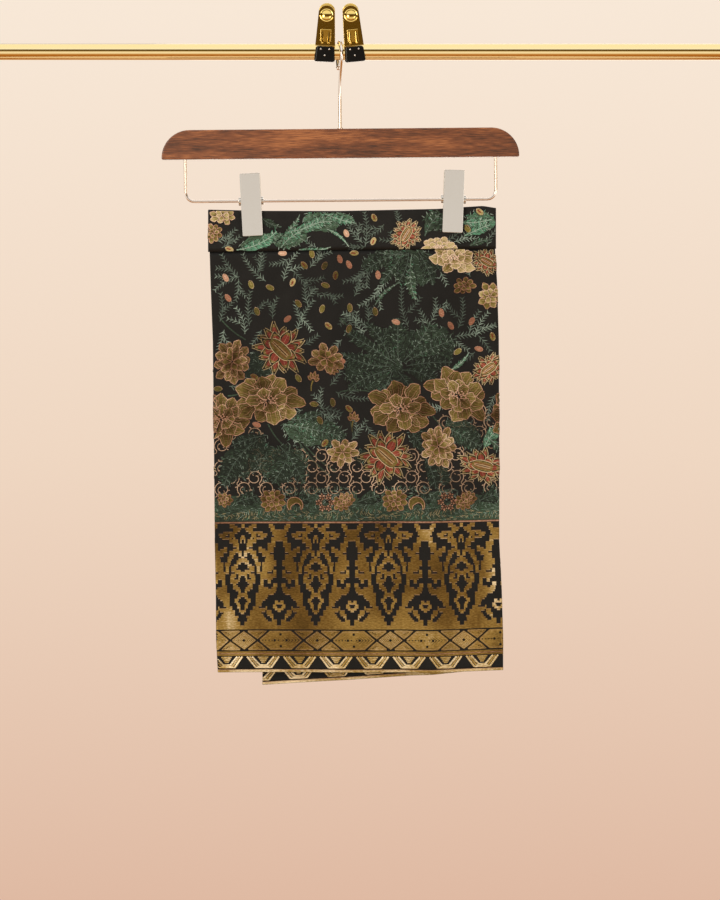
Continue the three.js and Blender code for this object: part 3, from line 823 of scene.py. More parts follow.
def lotus(work, centre, radii, turn, tone):
    """Pointed red-rooted petals round a long striped pod."""
    mean = (radii[0] + radii[1]) / 2
    petal_ring(work, centre, radii, turn, 14, (0.4, 1.0), mean * 0.12, 1, tone, "pod")
    petal_ring(work, centre, radii, turn + 13, 8, (0.2, 0.76), mean * 0.19, 3, tone, "pod")
    pod_level = 5
    pod_steps = 10
    lean = toward(math.radians(turn))
    middle = np.array(centre, dtype=float)
    line = straight(middle - lean * mean * 0.5, middle + lean * mean * 0.5, pod_steps)
    width = petal_width(mean * 0.21, pod_steps, "round")
    lift = BACKING_RISE + LEVEL_STEP * pod_level
    work.lay("ground", line, width + 1.6, lift, DULL, flat_top=True)
    work.lay("gold", line, width, lift + FILL_RISE, tone - 0.05, flat_top=True)
    for share, thread in ((0.55, "red"), (0.2, "rose")):
        for edge in sides(line, width * share):
            work.lay(thread, edge[1:-1], 0.6, lift + EDGE_RISE, tone, foot=lift)
    for edge in sides(line, width + 1.2):
        work.lay("khaki", edge, 0.5, lift + EDGE_RISE, tone + 0.25, foot=lift - EDGE_SINK)
    work.lay("ground", line[2:-2], 0.5, lift + 0.16, DULL, foot=lift)


def along_line(line, part):
    """The place at a share of a line's length."""
    places = np.linspace(0, 1, len(line))
    return np.array([np.interp(part, places, line[:, axis]) for axis in (0, 1)])


# Leaves: height off the cloth, rows of stitches along the midrib and the length of a stitch
LEAF_RISE = 0.22
LEAF_ROW = 2.2
LEAF_STITCH = 3.2
# Ferns: distance between pairs of leaflets, the longest leaflet and how far it goes out and along
FERN_PAIR = 4.3
LEAFLET = 6.6
LEAFLET_SPREAD = 0.72
SEED_HALF = (5.0, 3.1)
# The leafy strip: distance between rows of stitches and between stitches in a row
GRASS_ROW = 2.6
GRASS_PITCH = 2.5
# How far inside a flower's outline a stitch or a tendril has to start to be left out
UNDER_BLOOM = -6
SCROLL_UNDER_BLOOM = -5


def leaf(work, stalk, tip, half, tone):
    """A leaf of short stitches: they slant from the midrib in broken rows and end in a ragged edge."""
    length = math.dist(stalk, tip)
    steps = max(6, int(length / 4))
    line = bowed(stalk, tip, 0.09 * math.sin(stalk[0]), steps)
    width = petal_width(half, steps, "full" if half > 6 else "point")
    lift = LEAF_RISE + 0.02 * (stalk[0] % 5)
    work.lay("ground", line, width + 0.8, lift - 0.02, DULL, flat_top=True)
    work.lay("green", line, width, lift + 0.02, tone - 0.1, flat_top=True)
    work.lay("fern", line, 0.5, lift + EDGE_RISE, tone, foot=lift)
    along = (line[-1] - line[0]) / length
    side = np.array((-along[1], along[0]))
    rows = int(length / LEAF_ROW)
    for number in range(1, rows):
        part = number / rows
        root = along_line(line, part)
        reach = np.interp(part, np.linspace(0, 1, steps + 1), width) * 1.1
        for hand in (-1, 1):
            slant = side * hand + along * (0.75 + 0.3 * math.sin(number * 1.1))
            stitches = max(1, round(reach / LEAF_STITCH))
            for stitch in range(stitches):
                shift = (stitch + 0.15 + 0.25 * (number % 2)) / stitches
                start = root + slant * reach * shift
                end = start + slant * reach * 0.72 / stitches
                shade = tone + 0.15 + 0.3 * math.sin(number * 1.7 + hand + stitch * 2.6)
                thread = ("fern", "ground", "green")[(number + stitch) % 3]
                work.lay(thread, np.array((start, end)), (0.58, 0.25), lift + 0.1, shade, foot=lift)


def thicket(work, centre, radii, turn, tone, blooms, draw):
    """A leafy mass: a green fill under short curled stitches that point outward, some of them black."""
    turned_by = turning(turn)
    middle = np.array(centre, dtype=float)
    steps = 14
    part = np.linspace(-1, 1, steps + 1)
    line = middle + part[:, None] * radii[0] * turned_by[:, 0]
    ripple = 1 + 0.12 * np.sin(part * 11 + centre[0])
    width = radii[1] * ripple * np.sqrt(np.clip(1 - part ** 2, 0.02, 1))
    work.lay("green", line, width, 0.18, tone - 0.05, flat_top=True)
    for x in np.arange(-radii[0], radii[0], THICKET_PITCH):
        for y in np.arange(-radii[1], radii[1], THICKET_PITCH):
            spot = np.array((x, y)) + draw.normal(0, 0.7, 2)
            if (spot[0] / radii[0]) ** 2 + (spot[1] / radii[1]) ** 2 > 1.1 + 0.2 * draw.random():
                continue
            angle = math.atan2(spot[1], spot[0]) + draw.choice((-0.9, 0.9)) + draw.normal(0, 0.3)
            start = middle + turned_by @ spot
            if covered(start, blooms, UNDER_BLOOM):
                continue
            end = start + turned_by @ toward(angle) * (3.2 + 1.6 * draw.random())
            thread = draw.choice(("green", "fern", "fern", "ground"))
            shade = tone + 0.25 + draw.normal(0, 0.22)
            half = (0.75, 0.35) if thread == "ground" else (0.6, 0.28)
            work.lay(str(thread), np.array((start, end)), half, 0.27 + 0.03 * draw.random(), shade)


def fern(work, root, tip, tone):
    """A thin bowed stem with pairs of slender leaflets."""
    length = math.dist(root, tip)
    steps = max(5, int(length / 3))
    line = bowed(root, tip, 0.1 * math.sin(root[0] * 1.7), steps)
    work.lay("fern", line, np.linspace(0.55, 0.35, steps + 1), 0.14, tone)
    along = np.gradient(line, axis=0)
    along = along / np.linalg.norm(along, axis=1, keepdims=True)
    pairs = max(3, round(length / FERN_PAIR))
    for number in range(pairs):
        part = (number + 0.5) / pairs
        start = along_line(line, part)
        heading = along_line(along, part)
        side = np.array((-heading[1], heading[0]))
        reach = LEAFLET * (1 - 0.35 * part)
        for hand in (-1, 1):
            end = start + side * hand * reach * LEAFLET_SPREAD + heading * reach * LEAFLET_SPREAD
            shade = tone + 0.2 * math.sin(number * 2.1 + hand * 0.7)
            work.lay("fern", bowed(start, end, -0.08 * hand, 2), (0.35, 0.62, 0.25), 0.16, shade)


def seed(work, centre, turn, tone):
    """An oval seed with a rose rim on one side and a coloured eye."""
    steps = 6
    lean = toward(math.radians(turn))
    middle = np.array(centre, dtype=float)
    line = straight(middle - lean * SEED_HALF[0], middle + lean * SEED_HALF[0], steps)
    width = petal_width(SEED_HALF[1], steps, "round")
    kind = int(centre[0] + centre[1]) % 3
    fill = ("gold", "salmon", "vein")[kind]
    eye = ("red", "rose", "gold")[kind]
    work.lay("ground", line[::2], width[::2] + 0.8, 0.32, DULL, flat_top=True)
    work.lay(fill, line, width, 0.36, tone, flat_top=True)
    work.lay("rose", ring(centre, SEED_HALF, turn, 150, 230, 7), 0.5, 0.46, tone + 0.1, foot=0.1)
    work.lay("khaki", ring(centre, SEED_HALF, turn, 20, 130, 4), 0.36, 0.46, tone, foot=0.1)
    work.lay(eye, line[1:-2], 0.8, 0.42, tone - 0.1, foot=0.2, flat_top=True)


def bud_sprig(work, centre, turn):
    """A short stem that opens in a fan of narrow gold buds."""
    middle = np.array(centre, dtype=float)
    for spread in (-58, -26, 4, 34, 64):
        heading = toward(math.radians(turn + 180 + spread))
        tip = middle + heading * (12 - abs(spread) / 16)
        petal(work, middle + heading * 2, tip, 2.1, 1, 0.4, "point")
    stem = bowed(middle, middle + toward(math.radians(turn)) * 13, 0.08, 5)
    work.lay("gold", stem, (1.3, 1.1, 0.9, 0.7, 0.6, 0.5), 0.2, 0.5)


def scroll(work, centre, reach, up, tone):
    """One ring of the vine that winds on into a curl with a knob, with hooks and a tail to the next ring."""
    middle = np.array(centre, dtype=float)
    hand = 1 if up else -1
    start = 130 * hand if up else 50
    turns = np.concatenate((np.linspace(0, 290, 15), np.linspace(320, 480, 7)))
    radius = reach * np.interp(turns, (0, 250, 480), (1.04, 0.96, 0.34))
    angle = np.radians(start + turns * hand)
    line = middle + np.stack((np.cos(angle), np.sin(angle)), axis=1) * radius[:, None]
    width = np.interp(turns, (0, 440, 480), (0.58, 0.48, 0.95))
    work.lay("scroll", line, width, 0.21, tone + 0.2 * np.sin(turns / 40))
    out = toward(angle[0])
    tail = middle + out * reach * 1.04
    work.lay("scroll", bowed(tail, tail + (out[0] * 6.2, out[1] * 4.2), -0.3 * hand, 5), 0.5, 0.2, tone)
    for place, length in ((60, 2.6), (118, 2.2), (176, 2.8), (236, 2.2)):
        outward = toward(math.radians(start + place * hand))
        hook = middle + outward * reach
        barb = bowed(hook, hook + outward * length, 0.4, 3)
        work.lay("scroll", barb, (0.36, 0.42, 0.5, 0.8), 0.22, tone + 0.1)
    for across, drop in ((-0.3, 0.45), (0.42, 0.3)):
        knot = middle + np.array((across, drop * hand)) * reach
        work.lay("scroll", straight(knot - (0.9, 0.5), knot + (0.9, 0.5), 2), (0.3, 0.62, 0.3), 0.21, tone)


def covered(place, blooms, margin):
    """Whether a flower already lies over a place."""
    for _, across, drop, wide, tall, _, _ in blooms:
        if ((place[0] - across) / (wide + margin)) ** 2 + ((place[1] - drop) / (tall + margin)) ** 2 < 1:
            return True
    return False


def scroll_ground(work, blooms):
    """Rows of tendrils behind the flowers, wherever the ground is free."""
    rows = int((SCROLL_BOTTOM - SCROLL_TOP) / SCROLL_ROW) + 1
    count = int(PATTERN_REPEAT / SCROLL_PITCH)
    pitch = PATTERN_REPEAT / count
    for row in range(rows):
        drop = SCROLL_BOTTOM - row * SCROLL_ROW
        for number in range(count):
            across = (number + 0.25 + 0.5 * (row % 2)) * pitch
            inside = any(x <= across <= right and y <= drop <= foot for x, y, right, foot in SCROLL_GROUND)
            if inside and not covered((across, drop), blooms, SCROLL_UNDER_BLOOM):
                tone = 0.6 + 0.2 * math.sin(number * 1.1 + row)
                scroll(work, (across, drop), SCROLL_REACH, row % 2 == 0, tone)


def grass_strip(work, draw):
    """The dense leafy strip above the border, brighter and more golden towards its foot."""
    top, foot = GRASS
    for start in np.arange(0, PATTERN_REPEAT, STRIPE_PIECE):
        crest = top + 14 - 7 * math.sin(start * 0.125) - 3 * math.sin(start * 0.31)
        middle = (crest + foot) / 2
        line = straight((start, middle), (start + STRIPE_PIECE, middle), 1)
        work.lay("green", line, (foot - crest) / 2, 0.12, 0.3, flat_top=True)
    for row, drop in enumerate(np.arange(top + 2, foot - 1, GRASS_ROW)):
        depth = (drop - top) / (foot - top)
        for across in np.arange(0, PATTERN_REPEAT, GRASS_PITCH):
            # The upper rows stand in clumps
            if depth < 0.42 and math.sin(across * 0.105 + 0.6) + math.sin(across * 0.042) > 0.25 + depth:
                continue
            lean = -0.6 + 1.2 * math.sin(across * 0.06 + row * 0.9) + draw.normal(0, 0.25)
            start = np.array((across + draw.normal(0, 0.6), drop + 1.4 + draw.normal(0, 0.7)))
            end = start + np.array((math.sin(lean), -math.cos(lean))) * (4.2 + draw.random())
            gilt = depth > 0.7 and draw.random() < 0.4
            thread = "khaki" if gilt else ("fern" if draw.random() < 0.5 else "green")
            if not gilt and draw.random() < 0.22:
                thread = "ground"
            tone = 0.6 if gilt else 0.35 + 0.25 * depth + draw.normal(0, 0.2)
            work.lay(thread, np.array((start, end)), (0.72, 0.25), 0.2 + 0.03 * draw.random(), tone)


ROUND_MOTIFS = {
    # height as a share of the reach, and each ring's turn, petals, reach, half width, level and tone
    "rosette": (0.85, ((0, 10, (0.35, 1.0), 0.2, 1, 0.36), (18, 6, (0.05, 0.55), 0.18, 3, 0.42))),
    "disc": (0.9, ((30, 8, (0.1, 1.0), 0.24, 1, 0.32), (10, 6, (0.05, 0.55), 0.2, 3, 0.4))),
}


def row_motif(work, kind, across, drop, reach):
    """The small gold figures along the leafy strip."""
    centre = (across, drop)
    bend = (reach * 0.72, reach * 0.72)
    if kind in ROUND_MOTIFS:
        tall, rings = ROUND_MOTIFS[kind]
        for turn, count, span, half, level, tone in rings:
            petal_ring(work, centre, (reach, reach * tall), turn, count, span, reach * half, level, tone)
    elif kind == "lobe":
        stalk = (across - reach, drop + reach * 0.5)
        leaf(work, stalk, (across + reach, drop - reach * 0.1), reach * 0.6, 0.2)
    elif kind == "cluster":
        for angle in range(0, 360, 60):
            spot = around(centre, bend, 0, angle, 1)
            petal_ring(work, spot, (reach * 0.36, reach * 0.36), angle, 6, (0.1, 1.0), reach * 0.15, 1, 0.36)
    elif kind == "paisley":
        steps = 10
        line = ring(centre, bend, 0, 150, 240, steps)
        width = np.interp(np.linspace(0, 1, steps + 1), (0, 0.35, 1), (1.0, reach * 0.42, 0.4))
        work.lay("ground", line, width + GAP, 0.5, DULL, flat_top=True)
        work.lay("gold", line, width, 0.56, 0.4, flat_top=True)
        for edge in sides(line, width):
            work.lay("rose", edge, EDGE_HALF, 0.66, 0.6, foot=0.45)


def border_place(across, drop):
    """The border's columns lean a little as they fall, and the bands below them are woven upright."""
    lean = BORDER_LEAN * (min(drop, CHART_FOOT) - CHART_TOP)
    return (BORDER_START + across - lean + (LOWER_SHIFT if drop > CHART_FOOT else 0), drop)


def painted_gleam(across, drop):
    """Painted highlight: how much the gilt's tone is raised where the hanging cloth turns to the light."""
    light = 0.0
    for middle, level, wide, tall, gain in PAINTED_GLEAMS:
        light += gain * math.exp(-((across - middle) / wide) ** 2 - ((drop - level) / tall) ** 2)
    return light


def chart_runs(row):
    """First and last column of each gold run in one row of the whole repeat."""
    cells = row[::-1] + row
    runs = []
    start = None
    for column, cell in enumerate(cells + "."):
        if cell == "#" and start is None:
            start = column
        if cell != "#" and start is not None:
            runs.append((start, column))
            start = None
    return runs


# The border's gilt: its tone at the top, how much it gains to the foot, and more for runs of a few steps
BORDER_TONE = 0.28
FOOT_GAIN = 0.14
NARROW_RUN = 5
NARROW_GAIN = 0.16


def stepped_border(work, shift):
    """The gold figures on black, woven row by row from the chart, with painted gleams on the gilt and lighter
    strips along their steps as painted highlights.
    """
    columns = 2 * len(BORDER_CHART[0])
    cell = BORDER_REPEAT / columns
    row_height = (CHART_FOOT - CHART_TOP) / len(BORDER_CHART)
    half_repeat = BORDER_REPEAT / 2
    blank = "." * len(BORDER_CHART[0])
    rows = (blank,) + BORDER_CHART + (BORDER_CHART[-1],)

    def run_ends(first, last):
        start = shift + first * cell - half_repeat + (STEP_EASE if first else 0)
        end = shift + last * cell - half_repeat - (STEP_EASE if last < columns else 0)
        return start, end

    for number, row in enumerate(BORDER_CHART):
        drop = CHART_TOP + (number + 0.5) * row_height
        for first, last in chart_runs(row):
            start, end = run_ends(first, last)
            steps = max(1, round((end - start) / LONGEST_STEP))
            line = straight(border_place(start, drop), border_place(end, drop), steps)
            base = BORDER_TONE + FOOT_GAIN * number / len(BORDER_CHART)
            if last - first <= NARROW_RUN:
                base += NARROW_GAIN
            # The gilt's tone carries the painted gleams where the cloth turns to the light
            tone = [base + painted_gleam(*place) for place in line]
            work.lay("brocade", line, row_height / 2 + 0.02, 0.2, tone, flat_top=True)
        # Painted highlights along the steps, in the lighter thread: brighter on a run's lower edge than on
        # its upper one
        for neighbour, edge, tone in ((rows[number + 2], 0.5, 0.6), (rows[number], -0.5, 0.25)):
            shown = "".join("#" if c == "#" and n != "#" else "." for c, n in zip(row, neighbour))
            level = drop + edge * (row_height - 0.5)
            for first, last in chart_runs(shown):
                start, end = run_ends(first, last)
                steps = 1 + (end - start > LONGEST_STEP)
                line = straight(border_place(start, level), border_place(end, level), steps)
                work.lay("glint", line, 0.34, 0.3, tone + painted_gleam(*line[0]), foot=0.12)


def nested_lines(work, corners, count, half, fill, tone):
    """Closed lines one inside the other, as the brocade of the small figures runs, over a duller fill."""
    corners = np.asarray(corners, dtype=float)
    middle = corners.mean(axis=0)
    closed = np.concatenate((corners, corners[:1])) - middle
    for number in range(count):
        part = 1 - (number + 0.5) / count
        line = []
        for start, end in zip(closed[:-1], closed[1:]):
            steps = max(1, round(math.dist(start, end) * part / LONGEST_STEP))
            line.extend(start + (end - start) * step / steps for step in range(steps))
        line.append(closed[-1])
        placed = middle + np.array(line) * part
        work.lay("brocade", placed, half * 1.7, 0.22, fill, flat_top=True)
        if tone > fill or number == 0:
            # The outermost line is laid in the thread of the painted highlights
            work.lay("brocade" if number else "glint", placed, half, 0.3, tone)


def dark_dot(work, place):
    work.lay("ground", level_line(place, 1.4), (1.0, 1.6, 1.0), 0.44, DULL, flat_top=True)


def diamond_band(work, shift):
    """Diamonds and long hexagons between crossing black lines, with triangles above and below."""
    top, foot = DIAMOND_BAND
    middle = (top + foot) / 2
    half_repeat = BORDER_REPEAT / 2
    # From the diamond's middle to where the lines cross, and from there to each figure's corner
    cross = 16.7
    clear = 1.6
    gap = 1.1
    point = 3.6
    dot_reach = 7.3

    def at(across, drop):
        return border_place(shift + across, drop)

    wide = cross - clear
    diamond = (at(-wide, middle), at(0, top + gap), at(wide, middle), at(0, foot - gap))
    nested_lines(work, diamond, 6, 0.62, 0.45, 0.8)
    dark_dot(work, at(0, middle))
    left = cross + clear
    right = BORDER_REPEAT - left
    flat = half_repeat - 13.5
    hexagon = (
        at(left, middle), at(flat, top + gap), at(BORDER_REPEAT - flat, top + gap),
        at(right, middle), at(BORDER_REPEAT - flat, foot - gap), at(flat, foot - gap),
    )
    nested_lines(work, hexagon, 7, 0.72, 0.52, 0.5)
    for across, drop in ((-dot_reach, 0), (dot_reach, 0), (0, -dot_reach), (0, dot_reach)):
        dark_dot(work, at(half_repeat + across, middle + drop))
    for hand in (-1, 1):
        for edge, inward in ((top, 1), (foot, -1)):
            base = edge + inward * 0.7
            peak = middle - inward * clear
            near = at(hand * point, base)
            far = at(hand * (flat - 2.6), base)
            nested_lines(work, (near, far, at(hand * cross, peak)), 4, 0.6, 0.45, 0.65)


def cup_band(work, shift):
    """A row of flat-footed cups with black triangles between them."""
    top, foot = CUP_BAND

    def at(across, drop):
        return border_place(shift + across, top + drop)

    def foot_corner(number):
        return 9.6 - 2.6 * number, foot - top - 0.9 - 1.6 * number

    for hand in (-1, 1):
        for part, tone in ((0, 0.82), (1, 0.66), (2, 0.86)):
            reach, level = foot_corner(part)
            start = at(hand * (19.6 - 3.1 * part), 0.3)
            end = at(hand * reach, level)
            work.lay("brocade", straight(start, end, 3), 1.25, 0.3, tone)
            if part:
                for dot in straight(start, end, 5)[1:-1]:
                    work.lay("ground", level_line(dot, 0.5), (0.2, 0.5, 0.2), 0.42, DULL, foot=0.1)
    for number in range(3):
        reach, level = foot_corner(number)
        work.lay("brocade", straight(at(-reach, level), at(reach, level), 3), 0.95, 0.3, 0.82)
    for number in range(4):
        reach = 6.4 - 1.35 * number
        level = 1.2 + 2.0 * number
        work.lay("brocade", straight(at(-reach, level), at(reach, level), 2), 0.95, 0.3, 0.7)


def long_stripe(work, thread, top, foot, tone, rise=0.24, root=THREAD_FOOT):
    """A stripe woven along the whole cloth."""
    level = (top + foot) / 2
    for start in np.arange(0, PATTERN_REPEAT, STRIPE_PIECE):
        line = straight((start, level), (start + STRIPE_PIECE, level), 1)
        work.lay(thread, line, (foot - top) / 2, rise, tone, foot=root, flat_top=True)


def border(work):
    """The border's repeats, with two cups to each, and the stripes between its bands."""
    for number in range(round(PATTERN_REPEAT / BORDER_REPEAT)):
        shift = number * BORDER_REPEAT
        stepped_border(work, shift)
        diamond_band(work, shift)
        for share in (0.25, 0.75):
            cup_band(work, shift + BORDER_REPEAT * share)
    long_stripe(work, "rose", *TOP_LINE, 0.3)
    long_stripe(work, "brocade", *GOLD_STRIPE, 0.4)
    middle = sum(GOLD_STRIPE) / 2
    long_stripe(work, "rose", middle - 0.4, middle + 0.4, 0.35, 0.3)
    long_stripe(work, "brocade", *HEM_STRIPE, 0.8, root=HEM_THROUGH)
    # A painted highlight along the upper edge of the hem stripe
    long_stripe(work, "glint", HEM_STRIPE[0], HEM_STRIPE[0] + 0.9, 0.6, 0.32)


# A fern longer than this has a side branch
FERN_BRANCHES = 24.0
BLOOM_KINDS = {"peony": peony, "mum": mum, "blossom": blossom, "lotus": lotus}


def flowers(work, blooms, leaves, ferns, seeds, thickets):
    """All the loose figures of one cloth, from the leafy masses up to the seeds."""
    draw = np.random.default_rng(SEED)
    for across, drop, wide, tall, turn, tone in thickets:
        thicket(work, (across, drop), (wide, tall), turn, tone, blooms, draw)
    for number, (x, y, tip_x, tip_y) in enumerate(ferns):
        tone = 0.45 + 0.2 * math.sin(number * 2.3)
        fern(work, (x, y), (tip_x, tip_y), tone)
        if math.dist((x, y), (tip_x, tip_y)) > FERN_BRANCHES:
            run = np.array((tip_x - x, tip_y - y))
            side = np.array((-run[1], run[0])) * (1 if number % 2 else -1)
            fork = np.array((x, y)) + run * 0.35
            fern(work, fork, fork + run * 0.36 + side * 0.42, tone)
    for x, y, tip_x, tip_y, half, tone in leaves:
        leaf(work, (x, y), (tip_x, tip_y), half, tone)
    for kind, across, drop, wide, tall, turn, tone in blooms:
        BLOOM_KINDS[kind](work, (across, drop), (wide, tall), turn, tone)
    for across, drop, turn, tone in seeds:
        seed(work, (across, drop), turn, tone)


def body_pattern():
    work = ThreadWork(BODY_MARGIN_TOP, BODY_DROP - BODY_MARGIN_HEM)
    scroll_ground(work, FIELD_BLOOMS)
    flowers(work, FIELD_BLOOMS, FIELD_LEAVES, FIELD_FERNS, FIELD_SEEDS, FIELD_THICKETS)
    for x, y, far_x, far_y in FIELD_STEMS:
        work.lay("green", bowed((x, y), (far_x, far_y), 0.05, 8), 1.1, 0.16, 0.35)
    for across, drop, turn in BUD_SPRIGS:
        bud_sprig(work, (across, drop), turn)
    grass_strip(work, np.random.default_rng(SEED))
    for number in range(math.ceil(PATTERN_REPEAT / ROW_REPEAT)):
        for kind, across, drop, reach in ROW_MOTIFS:
            place = across + number * ROW_REPEAT
            if place < PATTERN_REPEAT - reach:
                row_motif(work, kind, place, drop, reach)
    border(work)
    return work


def band_pattern():
    work = ThreadWork(BAND_MARGIN_TOP, BAND_HEIGHT - BAND_MARGIN_SEAM, PLATE_PRINTS)
    flowers(work, BAND_BLOOMS, BAND_LEAVES, BAND_FERNS, BAND_SEEDS, BAND_THICKETS)
    return work


def shown_parts(line, half, hem_only):
    """How far along the cloth a strip is moved, for each repeat of the pattern that shows."""
    low = (line[:, 0] - half).min()
    high = (line[:, 0] + half).max()
    reach_start = FLAT_START if hem_only else RETURN_SHOWS
    reach_end = FLAT_END if hem_only else OUTER_END
    return [
        number * PATTERN_REPEAT
        for number in (-1, 0, 1, 2)
        if high + number * PATTERN_REPEAT > reach_start and low + number * PATTERN_REPEAT < reach_end
    ]


# A strip that runs round a fold is cut in steps of 1 mm, unless its own steps are already short
FOLD_STEP = 1.0
SHORT_STEP = 1.2
FOLDS = (-TURN_LENGTH, 0, FRONT_WIDTH, FRONT_WIDTH + TURN_LENGTH, OUTER_END, OUTER_END + TURN_LENGTH)


def fitted(line, half, tone):
    """Cuts a strip that runs round a fold into short pieces, so that it follows the fold."""
    tone = np.broadcast_to(tone, len(line))
    reach = half.max()
    low = line[:, 0].min() - reach
    high = line[:, 0].max() + reach
    near = any(low < fold + shift < high for fold in FOLDS for shift in (0, PATTERN_REPEAT, -PATTERN_REPEAT))
    lengths = np.linalg.norm(np.diff(line, axis=0), axis=1)
    if not near or lengths.max() < SHORT_STEP:
        return line, half, tone
    travelled = np.concatenate(((0,), np.cumsum(lengths)))
    places = np.unique(np.concatenate((travelled, np.arange(0, travelled[-1], FOLD_STEP))))
    finer = np.stack([np.interp(places, travelled, line[:, axis]) for axis in (0, 1)], axis=1)
    return finer, np.interp(places, travelled, half), np.interp(places, travelled, tone)


def cross_section(line, half, foot, rise, flat_top):
    """A strip's lines across its width with their heights: a ridge, or a bar with a flat top."""
    left, right = sides(line, half)
    if not flat_top:
        return (left, line, right), (foot, rise, foot)
    spans = math.ceil(2 * half.max() / WIDEST_SPAN)
    top = [left + (right - left) * part / spans for part in range(spans + 1)]
    return (left, *top, right), (foot, *[rise] * len(top), foot)


def closed_faces(first, steps, size):
    """The faces of one strip: walls all round from step to step, and a cap at each end."""
    faces = []
    for step in range(steps - 1):
        here = first + step * size
        for corner in range(size):
            after = (corner + 1) % size
            faces.append((here + corner, here + size + corner, here + size + after, here + after))
    last = first + (steps - 1) * size
    faces.append(tuple(first + corner for corner in range(size)))
    faces.append(tuple(last + corner for corner in range(size))[::-1])
    return faces


def thread_object(name, strips, cloth, work):
    """All strips of one thread as one mesh of closed ridges and flat bars that lie on the cloth."""
    places = []
    lifts = []
    tones = []
    faces = []
    for line, half, foot, rise, tone, flat_top in strips:
        line, half, tone = fitted(line, half, tone)
        section, heights = cross_section(line, half, foot, rise, flat_top)
        hem_only = line[:, 1].min() > HEM_SHOWS
        for shift in shown_parts(line, half, hem_only):
            faces.extend(closed_faces(len(places), len(line), len(section)))
            for step in range(len(line)):
                places.extend((edge[step, 0] + shift, edge[step, 1]) for edge in section)
                lifts.extend(heights)
            tones.extend(np.repeat(tone, len(section)))
    flat = np.array(places)
    flat[:, 0] = np.clip(flat[:, 0], FLAT_START + END_MARGIN, FLAT_END - END_MARGIN)
    flat[:, 1] = np.clip(flat[:, 1], work.top, work.foot)
    lifts = np.array(lifts)
    for first, last, low_end in work.pressed:
        under = (flat[:, 0] > first) & (flat[:, 0] < last) & (flat[:, 1] < low_end)
        lifts[under] *= PRESSED_SHARE
    points = on_cloth(cloth, flat[:, 0], flat[:, 1], lifts)
    obj = mesh_object(name, points, faces, flat)
    shade = obj.data.attributes.new("tone", "FLOAT", "POINT")
    shade.data.foreach_set("value", np.array(tones, dtype=np.float32))
    return obj


def linear(colour):
    """An sRGB colour such as "#8a5a2b" as linear values."""
    parts = [int(colour[place:place + 2], 16) / 255 for place in (1, 3, 5)]
    values = [part / 12.92 if part <= 0.04045 else ((part + 0.055) / 1.055) ** 2.4 for part in parts]
    return (*values, 1.0)


def feed(tree, node, inputs):
    """Gives each named input of a node its value, or links it to the socket that feeds it."""
    for name, value in inputs.items():
        if isinstance(value, bpy.types.NodeSocket):
            tree.links.new(value, node.inputs[name])
        else:
            node.inputs[name].default_value = value


def add(tree, kind, output, inputs=None, stops=(), **settings):
    """Adds one shader node with its settings and links, and returns the output that is used."""
    node = tree.nodes.new("ShaderNode" + kind)
    for name, value in settings.items():
        setattr(node, name, value)
    feed(tree, node, inputs or {})
    for number, (place, colour) in enumerate(stops):
        elements = node.color_ramp.elements
        stop = elements[number] if number < 2 else elements.new(place)
        stop.position = place
        stop.color = linear(colour)
    return node.outputs[output]


def new_material(name):
    material = bpy.data.materials.new(name)
    material.use_nodes = True
    tree = material.node_tree
    return material, tree, tree.nodes["Principled BSDF"]


def thread_material(name, colours, metallic, roughness, slub):
    """A brocading thread: its tone runs from deep to bright, and its twill shows as fine slanting ribs."""
    material, tree, surface = new_material(name)
    place = add(tree, "UVMap", "UV", uv_map="flat")
    tone = add(tree, "Attribute", "Fac", attribute_name="tone")
    # Slubs about 4 mm long and 1 mm wide shift the tone along each thread
    stretched = add(tree, "Mapping", "Vector", {"Vector": place, "Scale": (260.0, 900.0, 1.0)})
    slubs = add(tree, "TexNoise", "Fac", {"Vector": stretched, "Scale": 1.0, "Detail": 2.0})
    shift = add(tree, "Math", "Value", {0: slubs, 1: 0.5}, operation="SUBTRACT")
    shifted = add(tree, "Math", "Value", {0: shift, 1: slub * 2, 2: tone}, operation="MULTIPLY_ADD")
    # Painted sheen: the tone brightens and darkens in patches some 60 mm wide, as if light slid over the
    # cloth
    painted_sheen = add(tree, "TexNoise", "Fac", {"Vector": place, "Scale": 16.0, "Detail": 2.0})
    painted_sheen_shift = add(tree, "Math", "Value", {0: painted_sheen, 1: 0.5}, operation="SUBTRACT")
    shade = add(tree, "Math", "Value", {0: painted_sheen_shift, 1: shifted}, operation="ADD")
    stops = tuple((number / (len(colours) - 1), colour) for number, colour in enumerate(colours))
    dye = add(tree, "ValToRGB", "Color", {"Fac": shade}, stops=stops)
    # Twill ribs every 1.1 mm, slanting to the right, coarser than real ones so that they show
    slant = add(tree, "Mapping", "Vector", {"Vector": place, "Rotation": (0.0, 0.0, 0.9)})
    wave = {"Vector": slant, "Scale": 290.0, "Distortion": 1.2, "Detail": 1.0}
    ribs = add(tree, "TexWave", "Fac", wave)
    bump = add(tree, "Bump", "Normal", {"Height": ribs, "Strength": 0.5, "Distance": 0.00025})
    feed(tree, surface, {
        "Base Color": dye,
        "Normal": bump,
        "Metallic": metallic,
        "Roughness": roughness,
        "Specular IOR Level": 0.2,
    })
    return material


